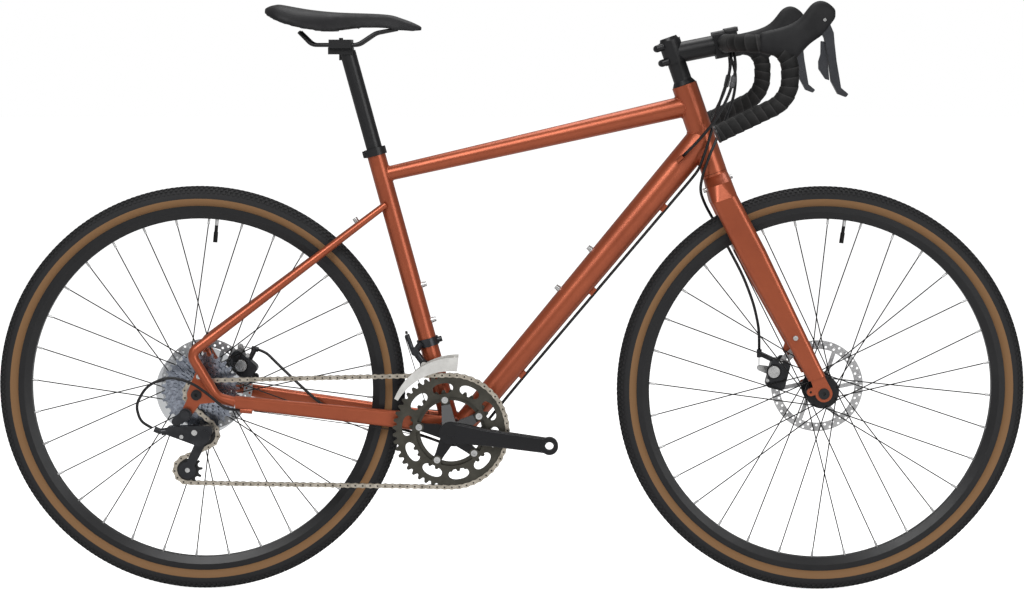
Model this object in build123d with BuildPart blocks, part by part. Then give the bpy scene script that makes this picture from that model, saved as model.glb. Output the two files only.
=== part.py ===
"""Drop-bar road bicycle with disc brakes, as separate pieces about one set of axes.

Millimetres. +X forward, +Y to the rider's left, +Z up; the chain is on the -Y side.
The origin is on the ground, midway between the two tyre contacts.
"""
import os
from math import asin, atan2, ceil, cos, degrees, floor, hypot, pi, radians, sin, sqrt, tan

from build123d import *

os.makedirs("parts", exist_ok=True)

# ---- driving dimensions -------------------------------------------------------------------
# wheels
tyre_radius = 351.0
tyre_section_radius = 20.0
tyre_wall = 3.0
rim_outer_radius = 317.0
rim_depth = 22.0
rim_half_width = 12.0
spoke_count = 32
spoke_radius = 1.0
rotor_radius = 80.0
rotor_thickness = 1.8
front_hub_width = 100.0
rear_hub_width = 142.0
axle_radius = 6.0
sleeve_radius = 8.5
# frame
wheelbase = 1067.0
bb_drop = 67.0
chainstay_length = 436.0
head_angle = 70.6
seat_angle = 74.8
fork_rake = 50.6
axle_to_crown = 414.7
head_tube_length = 158.0
head_tube_radius = 21.7
head_tube_bore = 17.0
seat_tube_top = 487.0
seat_tube_radius = 15.9
seatpost_radius = 13.6
seatpost_insertion = 150.0
top_tube_rear_radius = 12.5
top_tube_front_radius = 18.2
down_tube_low_radius = 19.8
down_tube_high_radius = 25.0
bb_shell_radius = 21.0
bb_shell_bore = 17.5
bb_shell_width = 68.0
# steering
steerer_radius = 14.3
spacer_height = 32.0
stem_length = 89.5
stem_drop_angle = 8.2
stem_radius = 17.5
bar_half_width = 220.0
bar_radius = 11.9
bar_clamp_radius = 15.9
tape_thickness = 3.2
# drive
chain_pitch = 12.7
roller_radius = 3.85
ring_teeth = 48
inner_ring_teeth = 34
cog_teeth = [11, 12, 14, 16, 18, 20, 22, 25, 28, 32]
pulley_teeth = 11
cog_spacing = 3.95
cog_plane = -62.5
ring_plane = -46.6
inner_ring_plane = -40.6
bolt_circle_radius = 55.0
crank_length = 170.0
crank_angle = -7.2
spindle_radius = 12.0
# saddle
saddle_length = 272.0
saddle_width = 148.0
rail_height = 942.0
rail_spread = 22.0
# clearances
running_gap = 0.05
seam_gap = 0.6
soft_gap = 0.3

# ---- places worked out from the driving dimensions ----------------------------------------
rear_axle_x = -wheelbase / 2
front_axle_x = wheelbase / 2
bb_x = rear_axle_x + sqrt(chainstay_length**2 - bb_drop**2)
bb_z = tyre_radius - bb_drop
head_cos = cos(radians(head_angle))
head_sin = sin(radians(head_angle))
seat_cos = cos(radians(seat_angle))
seat_sin = sin(radians(seat_angle))
race_x = front_axle_x - fork_rake * head_sin - axle_to_crown * head_cos
race_z = tyre_radius - fork_rake * head_cos + axle_to_crown * head_sin
rim_inner_radius = rim_outer_radius - rim_depth
low = (Align.CENTER, Align.CENTER, Align.MIN)


def steer(forward, left, up):
    """A point given from the crown race, along the head axis and square to it."""
    x = race_x + forward * head_sin - up * head_cos
    z = race_z + forward * head_cos + up * head_sin
    return (x, left, z)


def seat(forward, left, up):
    """A point given from the crank centre, along the seat tube and square to it."""
    x = bb_x + forward * seat_sin - up * seat_cos
    z = bb_z + forward * seat_cos + up * seat_sin
    return (x, left, z)


def polar(centre_x, centre_z, radius, angle, y=0.0):
    """A point at an angle from +X towards +Z about an axle."""
    return (centre_x + radius * cos(radians(angle)), y, centre_z + radius * sin(radians(angle)))


def side_plane(x, y, z):
    """A plane seen from the drive side: its x is forward, its y is up, its normal is -Y."""
    return Plane(origin=(x, y, z), x_dir=(1, 0, 0), z_dir=(0, -1, 0))


def steer_plane(forward, left, up):
    """A plane square to the head axis, its x forward."""
    return Plane(origin=steer(forward, left, up), x_dir=(head_sin, 0, head_cos),
                 z_dir=(-head_cos, 0, head_sin))


def seat_plane(up):
    """A plane square to the seat tube, its x forward."""
    return Plane(origin=seat(0, 0, up), x_dir=(seat_sin, 0, seat_cos), z_dir=(-seat_cos, 0, seat_sin))


def rod(start, end, radius, mode=Mode.ADD, end_radius=None):
    """A round bar, or a cone, between two points."""
    axis = Vector(*end) - Vector(*start)
    with Locations(Location(Plane(origin=start, z_dir=axis))):
        if end_radius is None:
            Cylinder(radius, axis.length, align=low, mode=mode)
        else:
            Cone(radius, end_radius, axis.length, align=low, mode=mode)


def disc(x, z, y_from, y_to, radius, mode=Mode.ADD):
    """A round piece about a cross axle, between two Y values."""
    rod((x, y_from, z), (x, y_to, z), radius, mode)


def bent_rod(points, bends, radius, bore=0.0):
    """A round bar along straight runs joined by tangent arcs."""
    with BuildLine() as path:
        FilletPolyline(*points, radius=bends)
    with BuildSketch(Plane(origin=path.line @ 0, z_dir=path.line % 0)) as section:
        Circle(radius)
        if bore:
            Circle(bore, mode=Mode.SUBTRACT)
    sweep(section.sketch, path=path.line)


def run_bends(points, share=0.45):
    """The largest arc for each corner: a share of its shorter run over the tangent of half the turn."""
    bends = []
    for before, here, after in zip(points, points[1:], points[2:]):
        first = Vector(*here) - Vector(*before)
        second = Vector(*after) - Vector(*here)
        half_turn = radians(first.get_angle(second)) / 2
        bends.append(share * min(first.length, second.length) / tan(half_turn))
    return bends


def housing(points, radius):
    """A cable housing or bare cable along its route."""
    bends = run_bends(points)
    print("  bends", [round(bend) for bend in bends])
    bent_rod(points, bends, radius)


def hull_plate(plane, circles, thickness):
    """A flat plate round a set of circles (x, y, radius), both sides of its plane alike."""
    with BuildSketch(plane) as outline:
        for x, y, radius in circles:
            with Locations((x, y)):
                Circle(radius)
        make_hull()
    extrude(outline.sketch, amount=thickness / 2, both=True)


def save(piece, name):
    """Label a finished piece and write its file."""
    piece.part.label = name
    export_step(piece.part, "parts/" + name + ".step")
    print(name, len(piece.part.solids()), round(piece.part.volume))


# ---- frame --------------------------------------------------------------------------------
head_top = steer(0, 0, head_tube_length)
cup_depth = 12.0
cup_radius = 20.0
with BuildPart() as head_tube:
    rod(steer(0, 0, 0), head_top, head_tube_radius)
    rod(steer(0, 0, -1), steer(0, 0, head_tube_length + 1), head_tube_bore, Mode.SUBTRACT)
    rod(steer(0, 0, -1), steer(0, 0, cup_depth), cup_radius, Mode.SUBTRACT)
    rod(steer(0, 0, head_tube_length - cup_depth), steer(0, 0, head_tube_length + 1), cup_radius,
        Mode.SUBTRACT)
save(head_tube, "head_tube")

with BuildPart() as bottom_bracket_shell:
    disc(bb_x, bb_z, -bb_shell_width / 2, bb_shell_width / 2, bb_shell_radius)
    disc(bb_x, bb_z, -bb_shell_width, bb_shell_width, bb_shell_bore, Mode.SUBTRACT)
save(bottom_bracket_shell, "bottom_bracket_shell")

with BuildPart() as seat_tube:
    rod(seat(0, 0, 0), seat(0, 0, seat_tube_top), seat_tube_radius)
    rod(seat(0, 0, 30), seat(0, 0, seat_tube_top + 1), seatpost_radius + running_gap, Mode.SUBTRACT)
    disc(bb_x, bb_z, -bb_shell_width, bb_shell_width, bb_shell_radius, Mode.SUBTRACT)
save(seat_tube, "seat_tube")

# the top tube leaves the head tube high up and meets the seat tube just under its clamp
top_tube_front = steer(0, 0, 122.0)
top_tube_rear = seat(0, 0, 452.0)
with BuildPart() as top_tube:
    rod(top_tube_rear, top_tube_front, top_tube_rear_radius, end_radius=top_tube_front_radius)
    rod(steer(0, 0, -20), steer(0, 0, head_tube_length + 20), head_tube_radius, Mode.SUBTRACT)
    rod(seat(0, 0, 300), seat(0, 0, 600), seat_tube_radius, Mode.SUBTRACT)
save(top_tube, "top_tube")

# the down tube runs into the lower front of the crank shell, and carries three housing guides below
down_tube_high = steer(0, 0, 62.8)
down_tube_low = (bb_x + 2, 0, bb_z - 17.5)
down_axis = (Vector(*down_tube_high) - Vector(*down_tube_low)).normalized()
down_normal = Vector(down_axis.Z, 0, -down_axis.X)
down_length = (Vector(*down_tube_high) - Vector(*down_tube_low)).length
guide_places = [0.24, 0.52, 0.80]
shift_stop_along = 626.9


def down(along, out, left=0.0):
    """A point from the low end of the down tube, along it and out below it."""
    place = Vector(*down_tube_low) + down_axis * along + down_normal * out
    return (place.X, left, place.Z)


def down_radius(share):
    """Radius of the down tube at a share of its length."""
    return down_tube_low_radius + (down_tube_high_radius - down_tube_low_radius) * share


with BuildPart() as down_tube:
    rod(down_tube_low, down_tube_high, down_tube_low_radius, end_radius=down_tube_high_radius)
    for share in guide_places:
        surface = down_radius(share)
        with BuildSketch(Plane(origin=down(share * down_length, 0), z_dir=down_axis,
                               x_dir=down_normal)):
            with Locations((surface + 1.5, 0)):
                Rectangle(7, 10)
        extrude(amount=7, both=True)
        rod(down(share * down_length - 20, surface + 6.5), down(share * down_length + 20, surface + 6.5),
            2.6, Mode.SUBTRACT)
    for side in (-1, 1):
        rod(down(shift_stop_along - 0.6, -7.6, side * 29.4), down(shift_stop_along - 13.6, -8.6, side * 26.0), 4.0)
    rod(steer(0, 0, -60), steer(0, 0, head_tube_length), head_tube_radius, Mode.SUBTRACT)
    rod(seat(0, 0, 0), seat(0, 0, 200), seat_tube_radius, Mode.SUBTRACT)
    disc(bb_x, bb_z, -bb_shell_width, bb_shell_width, bb_shell_radius, Mode.SUBTRACT)
save(down_tube, "down_tube")

# each chainstay starts tall and narrow beside the shell and ends round at the axle
stay_end_y = 77.0
stay_sections = [(bb_x - 8.0, 20.5, bb_z + 6.0, 12.0, 33.0), (bb_x - 101.0, 29.0, bb_z + 19.0, 12.0, 30.0),
                 (rear_axle_x + 66.0, stay_end_y - 1.5, tyre_radius - 12.5, 15.0, 22.5)]


def stay_length(side):
    """One chainstay as straight-sided lengths between oval sections."""
    faces = []
    for x, y, z, width, height in stay_sections:
        with BuildSketch(Plane(origin=(x, side * y, z), x_dir=(0, 1, 0), z_dir=(1, 0, 0))) as section:
            SlotCenterToCenter(height - width, width, rotation=90)
        faces.append(section.sketch)
    for near, far in zip(faces, faces[1:]):
        loft([near, far], ruled=True)


stop_x = rear_axle_x + 84.0
stop_y = stay_end_y - 4.5
stop_z = tyre_radius - 27.5
with BuildPart() as chainstays:
    for side in (-1, 1):
        stay_length(side)
    with Locations((bb_x - 60.0, 0, bb_z + 13.0)):
        Box(12, 52, 14)
    rod((stop_x - 10, -stop_y, stop_z + 0.8), (stop_x + 10, -stop_y, stop_z - 0.8), 5.0)
    rod((stop_x - 11, -stop_y, stop_z + 0.88), (stop_x + 4, -stop_y, stop_z - 0.32), 2.8, Mode.SUBTRACT)
    rod((stop_x, -stop_y, stop_z), (stop_x + 12, -stop_y, stop_z - 0.96), 0.9, Mode.SUBTRACT)
    disc(bb_x, bb_z, -bb_shell_width / 2, bb_shell_width / 2, bb_shell_radius, Mode.SUBTRACT)
    rod(seat(0, 0, 0), seat(0, 0, 200), seat_tube_radius, Mode.SUBTRACT)
    rod(down_tube_low, down_tube_high, down_tube_low_radius + 1.0, Mode.SUBTRACT)
save(chainstays, "chainstays")

# each seatstay runs back over the tyre, hooks round behind the axle and comes forward to its chainstay
hook_radius = 9.0
stay_top = seat(-6.0, 16.0, 402.0)
stay_turn = (rear_axle_x - 9.0, stay_end_y, tyre_radius + 70.5)
hook_low = (rear_axle_x + 34.5, stay_end_y, tyre_radius - 4.5)
hook_end = (rear_axle_x + 66.0, stay_end_y - 1.5, tyre_radius - 12.5)
stay_run = (Vector(*stay_top) - Vector(*stay_turn)).normalized()
hook_start = Vector(*stay_turn) + stay_run * 24.0
bridge_at = Vector(*stay_turn) + stay_run * 355.0


def mirrored(point, side):
    """The point on the side asked for."""
    x, y, z = point
    return (x, side * y, z)


with BuildPart() as seatstays:
    for side in (-1, 1):
        start = mirrored(hook_start, side)
        bent_rod([start, mirrored(stay_turn, side), mirrored(hook_low, side), mirrored(hook_end, side)],
                 [15, 30], hook_radius)
        rod(start, mirrored(stay_top, side), hook_radius, end_radius=5.8)
    rod((bridge_at.X, -bridge_at.Y, bridge_at.Z), (bridge_at.X, bridge_at.Y, bridge_at.Z), 5.0)
    rod(seat(0, 0, 200), seat(0, 0, 600), seat_tube_radius, Mode.SUBTRACT)
    with Locations((hook_end[0] + 20, 0, tyre_radius)):
        Box(40, 400, 60, mode=Mode.SUBTRACT)
save(seatstays, "seatstays")

# dropouts: flat plates inside the hooks; the right one carries the gear hanger, the left one the caliper
dropout_in = rear_hub_width / 2
dropout_thickness = 7.0
dropout_y = dropout_in + dropout_thickness / 2
hanger_x = rear_axle_x - 17.5
hanger_z = tyre_radius - 32.0
eyelet_x = rear_axle_x + 5.0
eyelet_z = tyre_radius + 32.0
rear_caliper_x = rear_axle_x + 62.0
rear_caliper_z = tyre_radius + 34.0
with BuildPart() as dropouts:
    hull_plate(side_plane(0, -dropout_y, 0),
               [(rear_axle_x, tyre_radius, 16.0), (eyelet_x, eyelet_z, 8.0),
                (hook_low[0], hook_low[2], 8.0)], dropout_thickness)
    hull_plate(side_plane(0, -dropout_y, 0),
               [(rear_axle_x - 2.0, tyre_radius - 6.0, 12.0), (hanger_x, hanger_z, 9.0)], dropout_thickness)
    hull_plate(side_plane(0, dropout_y, 0),
               [(rear_axle_x, tyre_radius, 16.0), (eyelet_x, eyelet_z, 8.0),
                (hook_low[0], hook_low[2], 8.0)], dropout_thickness)
    for side in (-1, 1):
        disc(rear_axle_x, tyre_radius, side * 60, side * 90, axle_radius + running_gap, Mode.SUBTRACT)
        disc(eyelet_x, eyelet_z, side * 60, side * 90, 2.5, Mode.SUBTRACT)
    disc(hanger_x, hanger_z, -60, -90, 5.0, Mode.SUBTRACT)
    add(seatstays.part, mode=Mode.SUBTRACT)
    add(chainstays.part, mode=Mode.SUBTRACT)
save(dropouts, "dropouts")

# ---- fittings of the frame ----------------------------------------------------------------
clamp_height = 13.0
clamp_radius = 19.0
with BuildPart() as seat_clamp:
    rod(seat(0, 0, seat_tube_top), seat(0, 0, seat_tube_top + clamp_height), clamp_radius)
    rod(seat(-22, 0, seat_tube_top + clamp_height / 2), seat(0, 0, seat_tube_top + clamp_height / 2), 6.0)
    rod(seat(0, 0, seat_tube_top - 1), seat(0, 0, seat_tube_top + clamp_height + 1),
        seatpost_radius + running_gap, Mode.SUBTRACT)
    with BuildSketch(seat_plane(seat_tube_top - 1)):
        with Locations((-22, 0)):
            Rectangle(20, 1.6)
    extrude(amount=clamp_height + 4, mode=Mode.SUBTRACT)
    rod(seat(-18.5, -9, seat_tube_top + clamp_height / 2), seat(-18.5, 9, seat_tube_top + clamp_height / 2),
        2.6)
save(seat_clamp, "seat_clamp")

cup_out = 10.5
cup_bearing_radius = 21.8
with BuildPart() as frame_bearings:
    for foot in (0.0, head_tube_length - cup_depth):
        rod(steer(0, 0, foot + 0.3), steer(0, 0, foot + cup_depth), cup_radius)
        rod(steer(0, 0, foot - 1), steer(0, 0, foot + cup_depth + 1), steerer_radius + running_gap,
            Mode.SUBTRACT)
    for side in (-1, 1):
        disc(bb_x, bb_z, side * bb_shell_width / 2, side * (bb_shell_width / 2 + cup_out - 2.0),
             cup_bearing_radius)
        disc(bb_x, bb_z, side * 16, side * bb_shell_width / 2, bb_shell_bore)
    disc(bb_x, bb_z, -60, 60, spindle_radius + running_gap, Mode.SUBTRACT)
save(frame_bearings, "frame_bearings")

# bolts that close the bottle bosses, the bridge and the rack eyelets
boss_places = [(0.60, "down"), (0.47, "down"), (252.0, "seat"), (189.0, "seat")]
with BuildPart() as frame_bolts:
    for place, tube in boss_places:
        if tube == "down":
            foot = down(place * down_length, -down_radius(place) + 1.0)
            head = down(place * down_length, -down_radius(place) - 4.0)
            tip = down(place * down_length, -down_radius(place) - 8.0)
        else:
            foot = seat(seat_tube_radius - 1.0, 0, place)
            head = seat(seat_tube_radius + 4.0, 0, place)
            tip = seat(seat_tube_radius + 8.0, 0, place)
        rod(foot, head, 5.0)
        rod(head, tip, 4.4)
    for side in (-1, 1):
        disc(eyelet_x, eyelet_z, side * (dropout_in + 0.5), side * (dropout_in + dropout_thickness + 4.0), 2.5)
        disc(eyelet_x, eyelet_z, side * (dropout_in + dropout_thickness),
             side * (dropout_in + dropout_thickness + 4.0), 4.5)
    rod((bridge_at.X, 0, bridge_at.Z + 4.0), (bridge_at.X - 6.0, 0, bridge_at.Z + 13.0), 4.5)
    add(down_tube.part, mode=Mode.SUBTRACT)
    add(seat_tube.part, mode=Mode.SUBTRACT)
    add(seatstays.part, mode=Mode.SUBTRACT)
save(frame_bolts, "frame_bolts")

with BuildPart() as rear_axle:
    disc(rear_axle_x, tyre_radius, -dropout_in, dropout_in, sleeve_radius)
    disc(rear_axle_x, tyre_radius, -dropout_in - dropout_thickness - 2.0,
         dropout_in + dropout_thickness + 5.0, axle_radius)
    disc(rear_axle_x, tyre_radius, dropout_in + dropout_thickness, dropout_in + dropout_thickness + 5.0, 9.0)
    disc(rear_axle_x, tyre_radius, -dropout_in - dropout_thickness, -dropout_in - dropout_thickness - 3.0, 9.0)
    disc(rear_axle_x, tyre_radius, -120, -dropout_in - dropout_thickness + 1.0, 3.0, Mode.SUBTRACT)
save(rear_axle, "rear_axle")

# ---- wheels -------------------------------------------------------------------------------
wheel_section = {"x_dir": (0, 1, 0), "z_dir": (1, 0, 0)}


def make_tyre(axle_x, name):
    """Tyre: a round casing open towards the rim."""
    with BuildPart() as tyre:
        with BuildSketch(Plane(origin=(axle_x, 0, tyre_radius), **wheel_section)):
            with Locations((0, tyre_radius - tyre_section_radius)):
                Circle(tyre_section_radius)
                Circle(tyre_section_radius - tyre_wall, mode=Mode.SUBTRACT)
            with Locations((0, rim_outer_radius - 30)):
                Rectangle(80, 60, mode=Mode.SUBTRACT)
        revolve(axis=Axis((axle_x, 0, tyre_radius), (0, 1, 0)))
    save(tyre, name)


def make_rim(axle_x, name):
    """Rim: a hollow-backed ring with a well for the tyre."""
    with BuildPart() as rim:
        with BuildSketch(Plane(origin=(axle_x, 0, tyre_radius), **wheel_section)):
            Polygon((rim_half_width, rim_outer_radius), (rim_half_width, rim_outer_radius - 10),
                    (6.0, rim_inner_radius), (-6.0, rim_inner_radius),
                    (-rim_half_width, rim_outer_radius - 10), (-rim_half_width, rim_outer_radius),
                    align=None)
            with Locations((0, rim_outer_radius)):
                Rectangle(2 * rim_half_width - 3.2, 14, mode=Mode.SUBTRACT)
        revolve(axis=Axis((axle_x, 0, tyre_radius), (0, 1, 0)))
    save(rim, name)


def make_hub(axle_x, name, stations):
    """Hub shell: stations are (y from, y to, radius)."""
    with BuildPart() as hub:
        for y_from, y_to, radius in stations:
            disc(axle_x, tyre_radius, y_from, y_to, radius)
        disc(axle_x, tyre_radius, -100, 100, sleeve_radius + running_gap, Mode.SUBTRACT)
    save(hub, name)


def make_spokes(axle_x, name, flanges, hole_radius, phase, valve_angle):
    """Three-cross spokes with nipples, and the tyre valve; angles run clockwise from the top."""
    with BuildPart() as spokes:
        for flange, (side_y, half_flange) in enumerate(flanges):
            for hole in range(spoke_count // 2):
                rim_angle = phase + flange * 360 / spoke_count + hole * 720 / spoke_count
                lean = 67.5 if hole % 2 else -67.5
                out = half_flange + 1.3
                start_y = side_y + (out if hole % 2 else -out)
                start = polar(axle_x, tyre_radius, hole_radius, 90 - rim_angle - lean, start_y)
                end = polar(axle_x, tyre_radius, rim_inner_radius + 2.0, 90 - rim_angle, 0)
                run = Vector(*end) - Vector(*start)
                collar = Vector(*end) - run.normalized() * 12.0
                rod(start, collar, spoke_radius)
                rod(collar, end, 2.0)
        foot = polar(axle_x, tyre_radius, rim_inner_radius + 2.0, 90 - valve_angle)
        neck = polar(axle_x, tyre_radius, rim_inner_radius - 22.0, 90 - valve_angle)
        tip = polar(axle_x, tyre_radius, rim_inner_radius - 40.0, 90 - valve_angle)
        rod(foot, neck, 3.0)
        rod(neck, tip, 3.8)
    save(spokes, name)


def make_rotor(axle_x, name, centre_y):
    """Six-armed brake rotor with rows of small holes."""
    with BuildPart() as rotor:
        with BuildSketch(side_plane(axle_x, centre_y, tyre_radius)):
            Circle(rotor_radius)
            Circle(rotor_radius - 15.0, mode=Mode.SUBTRACT)
            Circle(23.0)
            for arm in range(6):
                with Locations(Location((0, 0, 0), (0, 0, arm * 60))):
                    with Locations((43, 0)):
                        Rectangle(48, 7, rotation=12)
            Circle(sleeve_radius + 6.0, mode=Mode.SUBTRACT)
            for row_radius, shift in ((rotor_radius - 4.0, 0), (rotor_radius - 10.5, 6)):
                with PolarLocations(row_radius, 30, start_angle=shift):
                    Circle(2.1, mode=Mode.SUBTRACT)
        extrude(amount=rotor_thickness / 2, both=True)
    save(rotor, name)


front_flange_radius = 29.0
rear_flange_radius = 29.0
front_disc_y = 39.5
rear_disc_y = 55.0
front_flanges = [(-32.0, 1.5), (24.0, 1.5)]
rear_flanges = [(-20.5, 1.5), (35.0, 1.5)]
mount_half = rotor_thickness / 2
front_half = front_hub_width / 2
make_tyre(front_axle_x, "front_tyre")
make_rim(front_axle_x, "front_rim")
make_hub(front_axle_x, "front_hub", [
    (-front_half + 0.5, front_half - 0.5, 11.5), (-32.0 - 8, 24.0 + 8, 14.0), (-33.5, -30.5, front_flange_radius),
    (22.5, 25.5, front_flange_radius), (25.5, front_disc_y - mount_half, 20.0),
    (front_disc_y - mount_half, front_disc_y + mount_half, 14.5),
    (front_disc_y + mount_half, front_disc_y + mount_half + 2.0, 20.0)])
make_spokes(front_axle_x, "front_spokes", front_flanges, front_flange_radius - 3.0, 2.0, 7.5)
make_rotor(front_axle_x, "front_rotor", front_disc_y)
make_tyre(rear_axle_x, "rear_tyre")
make_rim(rear_axle_x, "rear_rim")
make_hub(rear_axle_x, "rear_hub", [
    (-22.5, dropout_in - 0.5, 12.5), (-22.0, -19.0, rear_flange_radius), (33.5, 36.5, rear_flange_radius),
    (36.5, rear_disc_y - mount_half, 20.0), (rear_disc_y - mount_half, rear_disc_y + mount_half, 14.5),
    (rear_disc_y + mount_half, rear_disc_y + mount_half + 2.0, 20.0)])
make_spokes(rear_axle_x, "rear_spokes", rear_flanges, rear_flange_radius - 3.0, 3.0, 5.6)
make_rotor(rear_axle_x, "rear_rotor", rear_disc_y)

protector_y = -25.0
protector_radius = 77.0
with BuildPart() as spoke_protector:
    disc(rear_axle_x, tyre_radius, protector_y - 0.5, protector_y + 0.5, protector_radius)
    disc(rear_axle_x, tyre_radius, protector_y - 2, protector_y + 2, 22.0, Mode.SUBTRACT)
save(spoke_protector, "spoke_protector")

# ---- chain line ---------------------------------------------------------------------------


def pitch_radius(teeth):
    """Radius of the circle through the roller centres."""
    return chain_pitch / (2 * sin(pi / teeth))


pulley_offset_x = 11.5
pulley_offset_z = -70.0
guide_x = rear_axle_x + pulley_offset_x
guide_z = tyre_radius + pulley_offset_z
cage_length = 68.0
cage_lean = 26.0
tension_x = guide_x - cage_length * sin(radians(cage_lean))
tension_z = guide_z - cage_length * cos(radians(cage_lean))
# wheels in the order the chain meets them: centre x, z, teeth, plane, turning sense
chain_wheels = [
    (bb_x, bb_z, ring_teeth, ring_plane, -1),
    (tension_x, tension_z, pulley_teeth, cog_plane, -1),
    (guide_x, guide_z, pulley_teeth, cog_plane, 1),
    (rear_axle_x, tyre_radius, cog_teeth[0], cog_plane, -1),
]


def chain_run(first, second):
    """Heading and end points of the straight run that leaves one wheel and meets the next."""
    x1, z1, teeth1, y1, turn1 = first
    x2, z2, teeth2, y2, turn2 = second
    r1 = pitch_radius(teeth1) * turn1
    r2 = pitch_radius(teeth2) * turn2
    span = hypot(x2 - x1, z2 - z1)
    heading = atan2(z2 - z1, x2 - x1) + asin((r1 - r2) / span)
    side_x = sin(heading)
    side_z = -cos(heading)
    start = Vector(x1 + r1 * side_x, y1, z1 + r1 * side_z)
    end = Vector(x2 + r2 * side_x, y2, z2 + r2 * side_z)
    return heading, start, end


chain_headings = []
chain_ends = []
for index, wheel in enumerate(chain_wheels):
    heading, run_start, run_end = chain_run(wheel, chain_wheels[(index + 1) % 4])
    chain_headings.append(heading)
    chain_ends.append((run_start, run_end))

# each wheel takes its share of links round its arc; the straight runs share the rest evenly
arc_links = []
for index, wheel in enumerate(chain_wheels):
    swept = wheel[4] * (chain_headings[index] - chain_headings[index - 1]) % (2 * pi)
    arc_links.append(swept * wheel[2] / (2 * pi))
straight_length = sum((end - start).length for start, end in chain_ends)
link_count = 2 * round((straight_length / chain_pitch + sum(arc_links)) / 2)
straight_pitch = straight_length / (link_count - sum(arc_links))
print("links", link_count, "pitch on the straight runs", round(straight_pitch, 3))


def chain_point(place):
    """Centre of a chain pin, given as links from where the chain meets the big ring."""
    place = place % link_count
    for index, wheel in enumerate(chain_wheels):
        x, z, teeth, y, turn = wheel
        start, end = chain_ends[index]
        if place <= arc_links[index]:
            angle = chain_headings[index - 1] + turn * place * 2 * pi / teeth
            radius = pitch_radius(teeth) * turn
            return Vector(x + radius * sin(angle), y, z - radius * cos(angle))
        place -= arc_links[index]
        run_links = (end - start).length / straight_pitch
        if place <= run_links:
            share = place / run_links
            flat = start + (end - start) * share
            # the chain leaves and meets each wheel square to it, and slants in between
            slant = share * share * (3 - 2 * share)
            return Vector(flat.X, start.Y + (end.Y - start.Y) * slant, flat.Z)
        place -= run_links
    return chain_ends[-1][1]


def tooth_phase(index):
    """Angle from +X of one roller that lies on this wheel."""
    before = sum(arc_links[:index]) + sum((end - start).length for start, end in
                                          chain_ends[:index]) / straight_pitch
    roller = chain_point(ceil(before + 0.01))
    x, z = chain_wheels[index][:2]
    return degrees(atan2(roller.Z - z, roller.X - x))


def link_plane(place):
    """Plane at the middle of a link, its x along the link and its normal across the chain."""
    first = chain_point(place)
    second = chain_point(place + 1)
    along = (second - first).normalized()
    across = (Vector(0, 1, 0) - along * along.Y).normalized()
    return Plane(origin=(first + second) * 0.5, x_dir=along, z_dir=across)


plate_half_height = 4.1
plate_thickness = 0.75
inner_plate_y = 1.2
outer_plate_y = 2.05
with BuildPart(mode=Mode.PRIVATE) as inner_link:
    with BuildSketch(Plane.XY.offset(inner_plate_y), Plane.XY.offset(-inner_plate_y - plate_thickness)):
        SlotCenterToCenter(chain_pitch, 2 * plate_half_height)
    extrude(amount=plate_thickness)
    with Locations((-chain_pitch / 2, 0), (chain_pitch / 2, 0)):
        Cylinder(roller_radius, 2 * inner_plate_y + plate_thickness)
        Cylinder(1.9, 20, mode=Mode.SUBTRACT)
with BuildPart(mode=Mode.PRIVATE) as outer_link:
    with BuildSketch(Plane.XY.offset(outer_plate_y), Plane.XY.offset(-outer_plate_y - plate_thickness)):
        SlotCenterToCenter(chain_pitch, 2 * plate_half_height)
    extrude(amount=plate_thickness)
    with Locations((-chain_pitch / 2, 0), (chain_pitch / 2, 0)):
        Cylinder(1.65, 2 * outer_plate_y + 2 * plate_thickness)

chain_links = []
for place in range(link_count):
    pattern = inner_link if place % 2 else outer_link
    chain_links.append(link_plane(place).location * pattern.part)
with BuildPart() as chain:
    add(chain_links)
save(chain, "chain")


def sprocket_outline(teeth, phase, tip=2.6, seat_radius=roller_radius + 0.25):
    """Toothed outline with round roller seats; phase is the angle of one seat."""
    radius = pitch_radius(teeth)
    step = 2 * pi / teeth
    seat_half = radians(62)
    tip_half = 0.13 * step
    with BuildLine() as outline:
        for tooth in range(teeth):
            mid = radians(phase) + tooth * step
            cx = radius * cos(mid)
            cz = radius * sin(mid)
            seats = []
            for turn in (-seat_half, 0, seat_half):
                angle = mid + pi - turn
                seats.append((cx + seat_radius * cos(angle), cz + seat_radius * sin(angle)))
            tip_a = mid - step / 2 + tip_half
            tip_b = mid + step / 2 - tip_half
            start_tip = ((radius + tip) * cos(tip_a), (radius + tip) * sin(tip_a))
            end_tip = ((radius + tip) * cos(tip_b), (radius + tip) * sin(tip_b))
            next_a = mid + step / 2 + tip_half
            next_tip = ((radius + tip) * cos(next_a), (radius + tip) * sin(next_a))
            Line(start_tip, seats[0])
            ThreePointArc(seats[0], seats[1], seats[2])
            Line(seats[2], end_tip)
            Line(end_tip, next_tip)
    make_face(outline.line.edges())


# ---- cassette -----------------------------------------------------------------------------
cog_phase = tooth_phase(3)
cog_half = 0.8
with BuildPart() as cassette:
    for index, teeth in enumerate(cog_teeth):
        plane_y = cog_plane + index * cog_spacing
        with BuildSketch(side_plane(rear_axle_x, plane_y, tyre_radius)):
            sprocket_outline(teeth, cog_phase + index * 4.0)
            if teeth > 18:
                hole_radius = (pitch_radius(teeth) + 17) / 2
                with PolarLocations(hole_radius, 6):
                    Circle((pitch_radius(teeth) - 26) / 3, mode=Mode.SUBTRACT)
        extrude(amount=cog_half, both=True)
    disc(rear_axle_x, tyre_radius, cog_plane - 3.0, cog_plane + 9 * cog_spacing + 1.0, 17.5)
    disc(rear_axle_x, tyre_radius, -dropout_in + 1.0, -24.0, 12.0)
    disc(rear_axle_x, tyre_radius, -120, 0, sleeve_radius + running_gap, Mode.SUBTRACT)
save(cassette, "cassette")

# ---- crankset -----------------------------------------------------------------------------
bolt_phase = 28.5
slot_half_width = 7.0


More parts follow.
